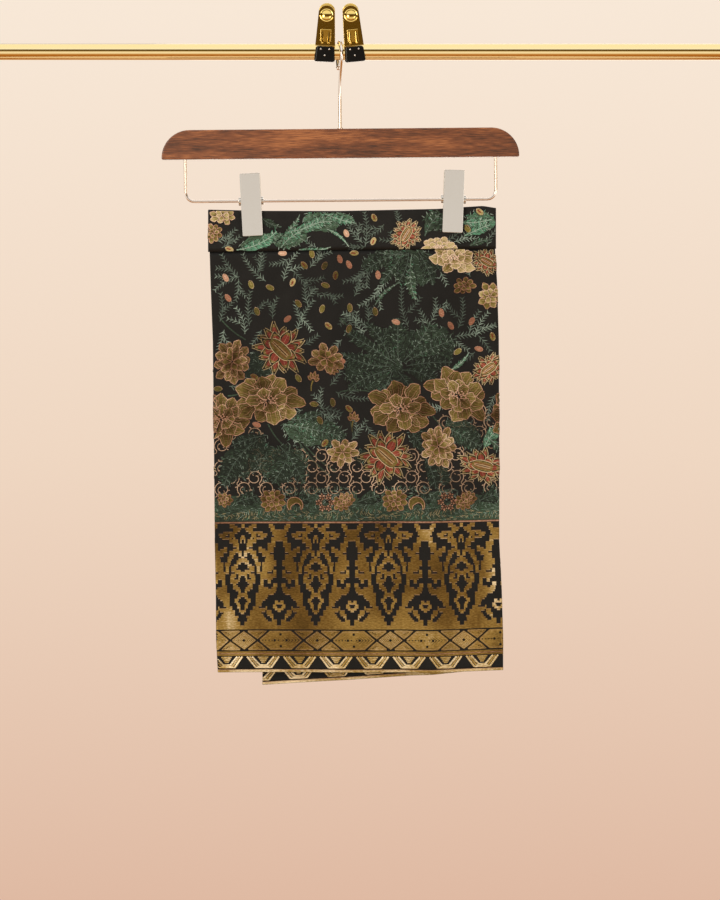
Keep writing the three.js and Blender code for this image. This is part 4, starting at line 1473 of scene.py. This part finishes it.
def cloth_material(name, dark, light):
    """Black silk satin: fine warp ribs with a dull sheen and a faint bloom of gilt weft."""
    material, tree, surface = new_material(name)
    place = add(tree, "UVMap", "UV", uv_map="flat")
    # Warp ribs every 0.6 mm, coarser than real ones so that they show
    wave = {"Vector": place, "Scale": 520.0, "Distortion": 2.0, "Detail": 1.0}
    ribs = add(tree, "TexWave", "Fac", wave)
    # A slow drift of shade over some 40 mm, and specks about 1 mm wide
    drift = add(tree, "TexNoise", "Fac", {"Vector": place, "Scale": 25.0, "Detail": 3.0})
    specks = add(tree, "TexNoise", "Fac", {"Vector": place, "Scale": 900.0, "Detail": 1.0})
    mixed = add(tree, "Math", "Value", {0: drift, 1: specks}, operation="MULTIPLY")
    dye = add(tree, "ValToRGB", "Color", {"Fac": mixed}, stops=((0.15, dark), (0.45, light)))
    bump = add(tree, "Bump", "Normal", {"Height": ribs, "Strength": 0.35, "Distance": 0.0002})
    feed(tree, surface, {"Base Color": dye, "Normal": bump, "Roughness": 0.5, "Specular IOR Level": 0.18})
    return material


def wood_material():
    """Walnut-stained beech under satin lacquer: long dark grain lines and a soft shine along the edges."""
    material, tree, surface = new_material("walnut-stained beech, satin lacquered")
    place = add(tree, "TexCoord", "Object")
    # Cloudy patches some 90 mm long and 12 mm wide
    clouds = add(tree, "Mapping", "Vector", {"Vector": place, "Scale": (11.0, 80.0, 80.0)})
    cloud = add(tree, "TexNoise", "Fac", {"Vector": clouds, "Scale": 1.0, "Detail": 4.0})
    # Fibres about 17 mm long and 1.3 mm wide, coarser than real ones so that they show
    lengthwise = add(tree, "Mapping", "Vector", {"Vector": place, "Scale": (60.0, 760.0, 760.0)})
    fibre = add(tree, "TexNoise", "Fac", {"Vector": lengthwise, "Scale": 1.0, "Detail": 4.0})
    both = add(tree, "Math", "Value", {0: fibre, 1: cloud}, operation="ADD")
    grain = add(tree, "Math", "Value", {0: both, 1: 0.5}, operation="MULTIPLY")
    stops = ((0.36, "#3f1f0d"), (0.5, "#784323"), (0.63, "#a86a3c"))
    stain = add(tree, "ValToRGB", "Color", {"Fac": grain}, stops=stops)
    # Pores half as wide as the fibres catch the light under the lacquer
    pores = add(tree, "Mapping", "Vector", {"Vector": place, "Scale": (60.0, 1500.0, 1500.0)})
    pore_marks = add(tree, "TexNoise", "Fac", {"Vector": pores, "Scale": 1.0, "Detail": 2.0})
    bump = add(tree, "Bump", "Normal", {"Height": pore_marks, "Strength": 0.25, "Distance": 0.0002})
    feed(tree, surface, {
        "Base Color": stain,
        "Normal": bump,
        "Roughness": 0.42,
        "Coat Weight": 0.35,
        "Coat Roughness": 0.25,
    })
    return material


def metal_material(name, colour, roughness, brush=0.0):
    """A plated metal; a brushed one carries fine upright lines that spread its shine."""
    material, tree, surface = new_material(name)
    place = add(tree, "TexCoord", "Object")
    # Lines about 8 mm long and 0.3 mm wide
    stretched = add(tree, "Mapping", "Vector", {"Vector": place, "Scale": (3000.0, 3000.0, 120.0)})
    lines = add(tree, "TexNoise", "Fac", {"Vector": stretched, "Scale": 1.0, "Detail": 2.0})
    limits = {"Value": lines, "To Min": roughness * 0.9, "To Max": roughness * 1.1}
    wear = add(tree, "MapRange", "Result", limits)
    feed(tree, surface, {"Roughness": wear, "Base Color": linear(colour), "Metallic": 1.0})
    if brush:
        bump = add(tree, "Bump", "Normal", {"Height": lines, "Strength": brush, "Distance": 0.0001})
        feed(tree, surface, {"Normal": bump})
    return material


def rubber_material():
    """Moulded black rubber: almost no colour, a broad soft shine and a fine grain."""
    material, tree, surface = new_material("moulded black rubber")
    place = add(tree, "TexCoord", "Object")
    # Grain about 1 mm wide
    grain = add(tree, "TexNoise", "Fac", {"Vector": place, "Scale": 900.0, "Detail": 2.0})
    bump = add(tree, "Bump", "Normal", {"Height": grain, "Strength": 0.15, "Distance": 0.0002})
    feed(tree, surface, {
        "Base Color": linear("#08080a"),
        "Normal": bump,
        "Roughness": 0.3,
        "Specular IOR Level": 0.25,
    })
    return material


THREAD_FINISHES = {
    # name, colours from deep to bright, metallic, roughness, slub
    # The dark gap round every figure is the satin's own black, so it stays dull
    "ground": ("black silk satin weft", ("#080807", "#0d0c0b", "#161412"), 0.0, 0.6, 0.15),
    # Flat gilt strip: red-brown, then olive, then pale straw; its tone is partly the strip's own colour and
    # partly painted sheen, deep as in shade and pale where it turns to the light
    "gold": (
        "gilt flat strip, brocaded",
        ("#35260f", "#584b24", "#7e713b", "#c2b380"),
        0.45, 0.42, 0.5,
    ),
    # Olive silk: duller than the gilt beside it, with a soft gloss
    "vein": ("olive silk, brocaded", ("#2a2510", "#514a22", "#8d8642"), 0.2, 0.55, 0.4),
    # Copper-wound thread: a warm pink line round each petal
    "rose": (
        "copper-wound thread, couched",
        ("#5c3d2c", "#946c54", "#c29c84", "#e6cfb8"),
        0.4, 0.42, 0.5,
    ),
    # Rose-gilt thread: thin warm lines that glint at their bends
    "scroll": ("rose-gilt thread, couched", ("#6a5848", "#a0866f", "#d0b59c"), 0.4, 0.42, 0.5),
    # Pale gilt thread: a light line that sets the lotus off from the black
    "khaki": ("pale gilt thread, couched", ("#5d5138", "#94835f", "#cdbd98"), 0.4, 0.42, 0.5),
    # Dyed silks: clear colour with a soft gloss and no glint
    "salmon": ("salmon silk, brocaded", ("#5f3a2e", "#96644f", "#d0a890"), 0.1, 0.5, 0.4),
    "red": ("madder red silk, brocaded", ("#3a1410", "#6e2a21", "#9a4a3a"), 0.05, 0.55, 0.5),
    # Bottle green silk: its tone is partly the silk's own colour and partly painted sheen, nearly black as in
    # shade and sea green as where it gleams
    "green": (
        "bottle green silk, brocaded",
        ("#161f18", "#2d3c30", "#475f4c", "#62a286"),
        0.05, 0.6, 0.5,
    ),
    # Grey-green silk: greyer and paler, so that fine stitches stand out from the green
    "fern": ("grey-green silk, brocaded", ("#36423c", "#5f7067", "#a6bdb2"), 0.15, 0.55, 0.5),
    # The border's gilt is redder and lies flat: its glints are partly its metal shine in long runs and partly
    # painted gleams raised in its tone
    "brocade": (
        "red-gilt strip, brocaded",
        ("#3a2a10", "#735828", "#aa8d4c", "#f8e8c4"),
        0.65, 0.38, 0.35,
    ),
    # Painted highlights on the border's steps: a lighter thread where the raised thread ends would catch the
    # light
    "glint": (
        "gilt thread with painted highlight, brocaded",
        ("#6d4f34", "#a88560", "#e8d0b0"),
        0.45, 0.38, 0.4,
    ),
}
THREADS = {thread: thread_material(*finish) for thread, finish in THREAD_FINISHES.items()}


ALONG_X = (0, math.pi / 2, 0)
ALONG_Y = (math.pi / 2, 0, 0)
# Faces that meet at less than this many degrees are shaded as one surface
SMOOTH_ANGLE = 35


def select_only(*objs):
    bpy.ops.object.select_all(action="DESELECT")
    for obj in objs:
        obj.select_set(True)
    bpy.context.view_layer.objects.active = objs[0]


def apply_place():
    """Moves the selected piece's place, turn and scale into its mesh."""
    bpy.ops.object.transform_apply(location=True, rotation=True, scale=True)


def block(size, centre=(0, 0, 0)):
    bpy.ops.object.select_all(action="DESELECT")
    bpy.ops.mesh.primitive_cube_add(size=1, location=centre)
    obj = bpy.context.object
    obj.scale = size
    apply_place()
    return obj


def rod(radius, length, centre, turn=(0, 0, 0), sides_round=32, caps="NGON"):
    bpy.ops.object.select_all(action="DESELECT")
    bpy.ops.mesh.primitive_cylinder_add(
        vertices=sides_round, radius=radius, depth=length, location=centre, rotation=turn, end_fill_type=caps
    )
    apply_place()
    return bpy.context.object


def ball(radius, segments, rings, centre=(0, 0, 0)):
    bpy.ops.object.select_all(action="DESELECT")
    bpy.ops.mesh.primitive_uv_sphere_add(segments=segments, ring_count=rings, radius=radius, location=centre)
    apply_place()
    return bpy.context.object


def open_with(obj, kind, chosen):
    """Opens a piece for editing with the faces or edges selected whose corners are chosen."""
    select_only(obj)
    bpy.ops.object.mode_set(mode="EDIT")
    bpy.ops.mesh.select_mode(type=kind)
    bpy.ops.mesh.select_all(action="DESELECT")
    bpy.ops.object.mode_set(mode="OBJECT")
    for element in obj.data.polygons if kind == "FACE" else obj.data.edges:
        element.select = chosen([obj.data.vertices[number].co for number in element.vertices])
    bpy.ops.object.mode_set(mode="EDIT")


def close():
    bpy.ops.object.mode_set(mode="OBJECT")


def bevel_edges(obj, offset, segments, chosen):
    """Rounds off the chosen edges of a piece."""
    open_with(obj, "EDGE", chosen)
    bpy.ops.mesh.bevel(offset=offset, segments=segments, affect="EDGES")
    close()


def upright_to_face(ends):
    """Whether an edge runs from a plate's front to its back."""
    return abs(ends[0].y - ends[1].y) > 1


def apply_modifier(obj, kind, **settings):
    select_only(obj)
    modifier = obj.modifiers.new("step", kind)
    for name, value in settings.items():
        setattr(modifier, name, value)
    bpy.ops.object.modifier_apply(modifier="step")


def round_edges(obj, width, segments=2, angle=40):
    """Breaks every edge that is sharper than an angle in degrees."""
    apply_modifier(
        obj, "BEVEL", width=width, segments=segments, limit_method="ANGLE", angle_limit=math.radians(angle)
    )


def join(*objs):
    select_only(*objs)
    bpy.ops.object.join()
    return objs[0]


def settle(obj, name, place):
    """Moves a piece made in millimetres to its place in metres, turns its faces outward and smooths it."""
    select_only(obj)
    obj.name = name
    obj.data.name = name
    obj.matrix_world = Matrix.Scale(MM, 4) @ place
    apply_place()
    bpy.ops.object.mode_set(mode="EDIT")
    bpy.ops.mesh.select_all(action="SELECT")
    bpy.ops.mesh.normals_make_consistent(inside=False)
    close()
    bpy.ops.object.shade_smooth_by_angle(angle=math.radians(SMOOTH_ANGLE))
    apply_modifier(obj, "WEIGHTED_NORMAL", keep_sharp=True)
    return obj


def wire(points, radius, resolution=5):
    """A round wire along a line of points."""
    curve = bpy.data.curves.new("wire", "CURVE")
    curve.dimensions = "3D"
    curve.bevel_depth = radius
    curve.bevel_resolution = resolution
    curve.use_fill_caps = True
    spline = curve.splines.new("POLY")
    spline.points.add(len(points) - 1)
    for point, place in zip(spline.points, points):
        point.co = (*place, 1.0)
    obj = bpy.data.objects.new("wire", curve)
    bpy.context.scene.collection.objects.link(obj)
    select_only(obj)
    bpy.ops.object.convert(target="MESH")
    return bpy.context.object


def coil(radius, wire_radius, start, end, turns):
    """A closed coil spring along X."""
    steps_a_turn = 20
    steps = int(turns * steps_a_turn)
    points = []
    for step in range(steps + 1):
        angle = 2 * math.pi * turns * step / steps
        x = start + (end - start) * step / steps
        points.append((x, radius * math.cos(angle), radius * math.sin(angle)))
    return wire(points, wire_radius, 2)


def turned(axis, degrees):
    return Matrix.Rotation(math.radians(degrees), 4, axis)


# The hanger, its hook and its wire
CLEARANCE = 0.3
HANGER_TILT = turned("Y", -0.5)
HOOK_SWIVEL = turned("Z", 9)
BAR_SIZE = (440.0, 13.0, 36.0)
BAR_TOP = -94.8
BAR_SHOULDER = 34.5
BAR_CHAMFER = 1.5
FERRULE_RADIUS = 3.4
FERRULE_HEIGHT = 1.6
WIRE_LEVEL = -182.6
WIRE_HALF_SPAN = 191.0
WIRE_CORNER = 11.0
WIRE_RADIUS = 1.9
HOOK_RADIUS = 17.3
HOOK_WIRE = 2.0
HOOK_BALL = 2.9
HOOK_START = 212
HOOK_SWEEP = 264
HOOK_STEPS = 32
# Depth and height of the stem's points, from the bar up to the bend
HOOK_STEM = ((0, -94.5), (0, -76), (0, -60), (-0.3, -52), (-1.4, -42), (-6.3, -28))
RAIL_RADIUS = 10.0
RAIL_ENDS = (-425.0, 475.0)
RAIL_WALL = 1.0
RAIL_HOLLOW = 0.992
# The clips on the wire
PLATE = (25.0, 3.0, 77.0)
PLATE_SKIN = 1.2
PLATE_CORNER = 1.4
PLATE_FACE = 2.4
PLATE_LEAN = 4.5
COLLAR_BORE = 3.1
COLLAR_WALL = 2.0
COLLAR_LENGTH = 5.0
COLLAR_PLACE = 12.9
CLIP_SPRING = (4.1, 0.75, -10.2, 10.2, 12)
HANGER_CLIPS = (
    # name, across, height of the plates' foot, turn in degrees
    ("clip_left", -110.4, -225.6, -2.4),
    ("clip_right", 138.7, -223.6, 2.4),
)
# The clips on the rail
STOP_CLIPS = (
    # name, across, turn in degrees
    ("stop_left", -17.9, 2.7),
    ("stop_right", 18.4, -5.5),
)
JAW = (26.0, 5.5, 19.0)
JAW_FACE = 10.3
JAW_FOOT = -13.3
JAW_CORNER = 3.0
JAW_TAPER = (0.88, 0.8, 1)
BACK_JAW_LIFT = 3.0
STUD_RADIUS = 1.3
STUD_SINK = 0.55
STUDS = ((-5.2, 2.0), (5.2, 2.0), (0, -5.6))
LEVER_FACE = 12.05
LEVER_FOOT = 6.0
LEVER_LEAN = -9.0
LEVER_SKIN = 2.0
LEVER_HALVES = (12.2, 9.5)
LEVER_HEAD = 9.2
FRONT_LEVER = 51.5
BACK_LEVER = 55.3
PANEL = (13.6, 1.8, 19.0)
PANEL_LEVEL = 11.0
PANEL_TILT = 8.8
RIB_RADIUS = 1.5
RIB_LENGTH = 18.0
RIB_PLACE = (3.9, -LEVER_SKIN - 0.5, 11.6)
EAR = (2.0, 3.4, 8.0)
EAR_PLACE = (7.0, 1.4, 22.0)
HEAD_LEVEL = 38.6
HEAD_RING = 7.6
HEAD_RING_WIRE = 0.8
BUTTON_RADIUS = 6.4
BUTTON_DOME = 0.4
PIN_LEVEL = 29.3
PIN_RADIUS = 1.6
PIN_LENGTH = 17.0
PIN_SPRING = (2.4, 0.55, -5.6, 5.6, 9)


def hanger_bar():
    """The wooden bar with its round shoulders and broken edges, and the ferrule where the hook goes in."""
    bar = block(BAR_SIZE, (0, 0, BAR_TOP - BAR_SIZE[2] / 2))

    def upper_end(ends):
        above = all(end.z > BAR_TOP - 1 for end in ends)
        crosswise = abs(ends[0].x - ends[1].x) < 1 and ends[0].y != ends[1].y
        return above and crosswise

    bevel_edges(bar, BAR_SHOULDER, 14, upper_end)
    round_edges(bar, BAR_CHAMFER, 3, 60)
    ferrule = rod(FERRULE_RADIUS, FERRULE_HEIGHT, (0, 0, BAR_TOP + 0.5))
    round_edges(ferrule, 0.4)
    return settle(bar, "hanger_bar_visual", HANGER_TILT), settle(ferrule, "hook_ferrule", HANGER_TILT)


def hanger_hook():
    """A straight stem that leans back into a round hook over the rail, with a ball on its tip."""
    centre = RAIL_RADIUS + CLEARANCE + HOOK_WIRE - HOOK_RADIUS
    points = [(0, depth, level) for depth, level in HOOK_STEM]
    for step in range(HOOK_STEPS + 1):
        angle = math.radians(HOOK_START - HOOK_SWEEP * step / HOOK_STEPS)
        points.append((0, HOOK_RADIUS * math.cos(angle), centre + HOOK_RADIUS * math.sin(angle)))
    hook = wire(points, HOOK_WIRE)
    tip = ball(HOOK_BALL, 24, 14, points[-1])
    return settle(join(hook, tip), "hanger_hook_visual", HANGER_TILT @ HOOK_SWIVEL)


def clip_wire():
    """One U of bent wire under the bar."""
    top = BAR_TOP - BAR_SIZE[2] - CLEARANCE
    points = [(-WIRE_HALF_SPAN, 0, top)]
    inner = WIRE_HALF_SPAN - WIRE_CORNER
    corner_steps = 8
    for hand, start in ((-1, 180), (1, 270)):
        for step in range(corner_steps + 1):
            angle = math.radians(start + 90 * step / corner_steps)
            x = hand * inner + WIRE_CORNER * math.cos(angle)
            points.append((x, 0, WIRE_LEVEL + WIRE_CORNER + WIRE_CORNER * math.sin(angle)))
    points.append((WIRE_HALF_SPAN, 0, top))
    return settle(wire(points, WIRE_RADIUS), "clip_wire_visual", HANGER_TILT)


def rail():
    """A round tube, cut square, whose hollow shows at both ends."""
    centre = (sum(RAIL_ENDS) / 2, 0, 0)
    bar = rod(RAIL_RADIUS, RAIL_ENDS[1] - RAIL_ENDS[0], centre, ALONG_X, 64)
    open_with(bar, "FACE", lambda corners: len(corners) > 4)
    bpy.ops.mesh.inset(thickness=RAIL_WALL)
    bpy.ops.mesh.extrude_region_move()
    bpy.ops.transform.resize(value=(RAIL_HOLLOW, 1, 1), center_override=centre)
    close()
    round_edges(bar, 0.35)
    return settle(bar, "rail_visual", Matrix.Identity(4))


def clip_plate():
    """A pressed tray: a flat face with its rim turned in, open at the back."""
    _, deep, tall = PLATE
    plate = block(PLATE, (0, -deep / 2, tall / 2))
    bevel_edges(plate, PLATE_CORNER, 4, upright_to_face)
    open_with(plate, "FACE", lambda corners: all(corner.y > -0.01 for corner in corners))
    bpy.ops.mesh.delete(type="FACE")
    close()
    apply_modifier(plate, "SOLIDIFY", thickness=PLATE_SKIN, offset=-1.0)
    round_edges(plate, 0.7, 3)
    return plate


def clip_barrel():
    """Two turned collars on the wire with the coil of the spring between them."""
    pieces = []
    for hand in (-1, 1):
        collar = rod(COLLAR_BORE, COLLAR_LENGTH, (hand * COLLAR_PLACE, 0, 0), ALONG_X, caps="NOTHING")
        apply_modifier(collar, "SOLIDIFY", thickness=COLLAR_WALL, offset=1.0)
        round_edges(collar, 0.5)
        pieces.append(collar)
    pieces.append(coil(*CLIP_SPRING))
    return join(*pieces)


def copied(model):
    """A copy, with its own mesh, of a piece that is modelled once."""
    select_only(model)
    bpy.ops.object.duplicate()
    return bpy.context.object


def discard(*models):
    """Removes the models that pieces were copied from."""
    select_only(*models)
    bpy.ops.object.delete()


def settled(name, parts):
    """Copies of a clip's models in their places, by the node that each stands for."""
    pieces = {}
    for part, model, place in parts:
        pieces[name + part] = settle(copied(model), name + part + "_visual", place)
    return pieces


def hanger_clip(plate, barrel, name, across, foot, turn):
    """A clip on the wire: two plates back to back and the barrel between them."""
    base = HANGER_TILT @ Matrix.Translation((across, 0, WIRE_LEVEL)) @ turned("Y", turn)
    plate_place = Matrix.Translation((0, -PLATE_FACE, foot - WIRE_LEVEL)) @ turned("X", PLATE_LEAN)
    return settled(name, (
        ("_front", plate, base @ plate_place),
        ("_back", plate, base @ turned("Z", 180) @ plate_place),
        ("_barrel", barrel, base),
    ))


def stop_jaw(foot):
    """A moulded grip that flares to its foot."""
    wide, deep, tall = JAW
    top = JAW_FOOT + tall
    jaw = block((wide, deep, top - foot), (0, -JAW_FACE - deep / 2, (top + foot) / 2))
    open_with(jaw, "FACE", lambda corners: all(corner.z > top - 0.1 for corner in corners))
    bpy.ops.transform.resize(value=JAW_TAPER, center_override=(0, -JAW_FACE, 0))
    close()
    bevel_edges(jaw, JAW_CORNER, 5, upright_to_face)
    round_edges(jaw, 0.9, 3)
    return jaw


def stop_studs():
    """Three small bright studs set in the face of a grip."""
    face = -JAW_FACE - JAW[1] + STUD_SINK
    return join(*[ball(STUD_RADIUS, 20, 10, (across, face, level)) for across, level in STUDS])


def stop_lever(tall):
    """A pressed lever: tapered, round-headed, with a ribbed panel, a ring at its head and two ears."""
    foot_half, top_half = LEVER_HALVES
    lever = block((2 * foot_half, LEVER_SKIN, tall), (0, -LEVER_SKIN / 2, tall / 2))
    open_with(lever, "FACE", lambda corners: all(corner.z > tall - 0.1 for corner in corners))
    bpy.ops.transform.resize(value=(top_half / foot_half, 1, 1), center_override=(0, 0, 0))
    close()
    bevel_edges(lever, LEVER_HEAD, 12, lambda ends: upright_to_face(ends) and ends[0].z > tall / 2)
    round_edges(lever, 0.55, 3)
    panel = block(PANEL)
    round_edges(panel, 0.6, 3)
    panel.location = (0, -LEVER_SKIN, PANEL_LEVEL)
    panel.rotation_euler = (math.radians(PANEL_TILT), 0, 0)
    select_only(panel)
    apply_place()
    parts = [lever, panel]
    for hand in (-1, 1):
        rib = rod(RIB_RADIUS, RIB_LENGTH, (hand * RIB_PLACE[0], *RIB_PLACE[1:]), sides_round=24)
        round_edges(rib, 1.2, 4)
        ear = block(EAR, (hand * EAR_PLACE[0], *EAR_PLACE[1:]))
        round_edges(ear, 0.5)
        parts.extend((rib, ear))
    bpy.ops.object.select_all(action="DESELECT")
    bpy.ops.mesh.primitive_torus_add(
        major_radius=HEAD_RING, minor_radius=HEAD_RING_WIRE, major_segments=40, minor_segments=8,
        location=(0, -LEVER_SKIN, HEAD_LEVEL), rotation=ALONG_Y,
    )
    apply_place()
    parts.append(bpy.context.object)
    return join(*parts)


def stop_button():
    """The domed head of the rivet."""
    button = ball(BUTTON_RADIUS, 32, 16)
    button.scale = (1, BUTTON_DOME, 1)
    apply_place()
    open_with(button, "FACE", lambda corners: sum(corner.y for corner in corners) / len(corners) > 0)
    bpy.ops.mesh.delete(type="FACE")
    close()
    open_with(button, "EDGE", lambda ends: all(abs(end.y) < 0.01 for end in ends))
    bpy.ops.mesh.edge_face_add()
    close()
    return button


def stop_pin():
    """The pin that the two levers turn on, in its coil spring."""
    pin = rod(PIN_RADIUS, PIN_LENGTH, (0, 0, PIN_LEVEL), ALONG_X, 20)
    round_edges(pin, 0.4)
    spring = coil(*PIN_SPRING)
    spring.location = (0, 0, PIN_LEVEL)
    select_only(spring)
    apply_place()
    return join(pin, spring)


def stop_models():
    """The pieces of a clip on the rail, each modelled once."""
    return {
        "_front_jaw": stop_jaw(JAW_FOOT),
        "_back_jaw": stop_jaw(JAW_FOOT + BACK_JAW_LIFT),
        "_front_lever": stop_lever(FRONT_LEVER),
        "_back_lever": stop_lever(BACK_LEVER),
        "_button": stop_button(),
        "_pin": stop_pin(),
    }


def stop_clip(models, name, base):
    """A clip on the rail: two levers and two grips back to back, on one pin."""
    lever_place = Matrix.Translation((0, -LEVER_FACE, LEVER_FOOT)) @ turned("X", LEVER_LEAN)
    behind = base @ turned("Z", 180)
    places = {
        "_front_jaw": base,
        "_back_jaw": behind,
        "_front_lever": base @ lever_place,
        "_back_lever": behind @ lever_place,
        "_button": base @ (lever_place @ Matrix.Translation((0, -LEVER_SKIN - 0.3, HEAD_LEVEL))),
        "_pin": base,
    }
    return settled(name, [(part, models[part], place) for part, place in places.items()])


BODY_SATIN = cloth_material("black silk satin, warp-faced", "#0b0b0a", "#191817")
BAND_SATIN = cloth_material("black silk satin, doubled", "#0d0d0c", "#1e1d1c")
WOOD = wood_material()
# Plated wire: a pale pink shine that takes the colour of the room
ROSE_WIRE = metal_material("rose-gold plated wire", "#e4dad4", 0.18)
# Satin nickel: grey and even, its shine drawn out sideways by the brushing
NICKEL = metal_material("satin nickel plate, brushed upright", "#cfcdca", 0.22, 0.1)
# Polished brass: deep yellow with sharp light and dark edges
BRASS = metal_material("polished brass, lacquered", "#e4c878", 0.1)
# Brass-plated tube: paler than solid brass, with long straight gleams
RAIL_BRASS = metal_material("brass-plated steel tube, polished", "#efdba6", 0.1)
RUBBER = rubber_material()


def build_cloth():
    """The two sheets of cloth, each with its threads."""
    body = body_cloth()
    band = band_cloth()
    body_sheet = sheet_object("sampin_body_cloth", body, BODY_SKIN)
    band_sheet = sheet_object("waistband_cloth", band, BAND_SKIN)
    finish_piece(body_sheet, BODY_SATIN, ("sampin_body",))
    finish_piece(band_sheet, BAND_SATIN, ("waistband",))
    inlays = {}
    for cloth_name, cloth, work in (("sampin", body, body_pattern()), ("waistband", band, band_pattern())):
        inlays[cloth_name] = []
        for thread, strips in work.strips.items():
            piece = thread_object(cloth_name + "_" + thread + "_threads", strips, cloth, work)
            finish_piece(piece, THREADS[thread])
            inlays[cloth_name].append(piece)


def build_hanger():
    """The hanger and the rail, with the clips on both."""
    bar, ferrule = hanger_bar()
    finish_piece(bar, WOOD, ("hanger_bar",))
    finish_piece(ferrule, ROSE_WIRE)
    finish_piece(hanger_hook(), ROSE_WIRE, ("hanger_hook",))
    finish_piece(clip_wire(), ROSE_WIRE, ("clip_wire",))
    finish_piece(rail(), RAIL_BRASS, ("rail",))
    plate = clip_plate()
    barrel = clip_barrel()
    for clip in HANGER_CLIPS:
        for node, piece in hanger_clip(plate, barrel, *clip).items():
            finish_piece(piece, NICKEL, (node,))
    studs = stop_studs()
    models = stop_models()
    for name, across, turn in STOP_CLIPS:
        base = Matrix.Translation((across, 0, 0)) @ turned("Y", turn)
        finish_piece(settle(copied(studs), name + "_studs", base), NICKEL)
        for node, piece in stop_clip(models, name, base).items():
            jaw = node.endswith("jaw")
            slot, material = ("black_rubber", RUBBER) if jaw else ("polished_brass", BRASS)
            finish_piece(piece, material, (node,))
    discard(plate, barrel, studs, *models.values())


# The studio, in metres
CAMERA_PLACE = (0.0252, -5.0, -0.490)
CAMERA_LENS = 108.3
SENSOR_HEIGHT = 24.0
FLOOR_PLACE = (0.02, 0, -1.27)
FLOOR_RADIUS = 0.62
FLOOR_THICKNESS = 0.012
FLOOR_EDGE = 0.003
LIT_POINT = (0, 0, -0.45)
LIGHTS = (
    # name, place, size, power in watts, colour
    ("key", (-1.3, -1.7, 0.35), (0.9, 0.9), 20, "#fff4e6"),
    ("fill", (1.7, -1.6, -0.3), (0.9, 1.2), 9, "#ffeedd"),
    ("back", (0.3, 1.8, 0.2), (1.2, 1.2), 9, "#fff4e8"),
)
BACKDROP = ((0.0, "#dfbaa3"), (0.5, "#efd7c2"), (1.0, "#f8e8d7"))
STUDIO = (
    # height from the ground, 0, to overhead, 1, and colour; the two ends come first
    (0.0, "#94540c"), (1.0, "#fff8ea"), (0.08, "#a96a27"), (0.2, "#c08c54"), (0.3, "#f0e4d4"),
    (0.48, "#f4ede4"), (0.54, "#a5854c"), (0.6, "#5c461c"), (0.735, "#5c461c"), (0.79, "#ffffff"),
)


def build_floor():
    """A plain pale disc below the picture: matt plaster board with a faint mottle some 70 mm wide."""
    floor = rod(FLOOR_RADIUS, FLOOR_THICKNESS, FLOOR_PLACE, sides_round=96)
    floor.name = "studio_floor"
    round_edges(floor, FLOOR_EDGE)
    material, tree, surface = new_material("matt plaster board")
    place = add(tree, "TexCoord", "Object")
    mottle = add(tree, "TexNoise", "Fac", {"Vector": place, "Scale": 14.0})
    stops = ((0.3, "#dcc3ae"), (0.7, "#e6d0bc"))
    pale = add(tree, "ValToRGB", "Color", {"Fac": mottle}, stops=stops)
    feed(tree, surface, {"Base Color": pale, "Roughness": 0.85})
    floor.data.materials.append(material)


def build_world():
    """A pale peach backdrop, and a studio seen only in reflections: bright above, a dark edge, warm below."""
    world = bpy.data.worlds.new("studio")
    bpy.context.scene.world = world
    world.use_nodes = True
    tree = world.node_tree
    tree.nodes.clear()
    direction = add(tree, "TexCoord", "Generated")
    rise = add(tree, "SeparateXYZ", "Z", {"Vector": direction})
    near_level = {"Value": rise, "From Min": -0.11, "From Max": 0.11}
    backdrop_place = add(tree, "MapRange", "Result", near_level)
    backdrop = add(tree, "ValToRGB", "Color", {"Fac": backdrop_place}, stops=BACKDROP)
    all_round = {"Value": rise, "From Min": -1.0, "From Max": 1.0}
    studio_place = add(tree, "MapRange", "Result", all_round)
    studio = add(tree, "ValToRGB", "Color", {"Fac": studio_place}, stops=STUDIO)
    seen = add(tree, "Background", "Background", {"Color": backdrop, "Strength": 1.0})
    lit = add(tree, "Background", "Background", {"Color": studio, "Strength": 1.2})
    ray = add(tree, "LightPath", "Is Camera Ray")
    mixed = add(tree, "MixShader", "Shader", {0: ray, 1: lit, 2: seen})
    feed(tree, tree.nodes.new("ShaderNodeOutputWorld"), {"Surface": mixed})


def soft_box(name, place, size, power, colour):
    """A large soft light that faces the cloth."""
    light = bpy.data.lights.new(name, "AREA")
    light.shape = "RECTANGLE"
    light.size = size[0]
    light.size_y = size[1]
    light.energy = power
    light.color = linear(colour)[:3]
    lamp = bpy.data.objects.new(name, light)
    bpy.context.scene.collection.objects.link(lamp)
    lamp.location = place
    lamp.rotation_euler = (Vector(LIT_POINT) - Vector(place)).to_track_quat("-Z", "Y").to_euler()


def build_camera():
    """Level with the middle of the picture, square to the front of the cloth."""
    camera = bpy.data.cameras.new("camera")
    camera.sensor_fit = "VERTICAL"
    camera.sensor_height = SENSOR_HEIGHT
    camera.lens = CAMERA_LENS
    viewer = bpy.data.objects.new("camera", camera)
    bpy.context.scene.collection.objects.link(viewer)
    viewer.location = CAMERA_PLACE
    viewer.rotation_euler = (math.pi / 2, 0, 0)
    bpy.context.scene.camera = viewer


build_cloth()
build_hanger()
build_floor()
build_world()
for box in LIGHTS:
    soft_box(*box)
build_camera()
bpy.context.scene.view_settings.view_transform = "Standard"
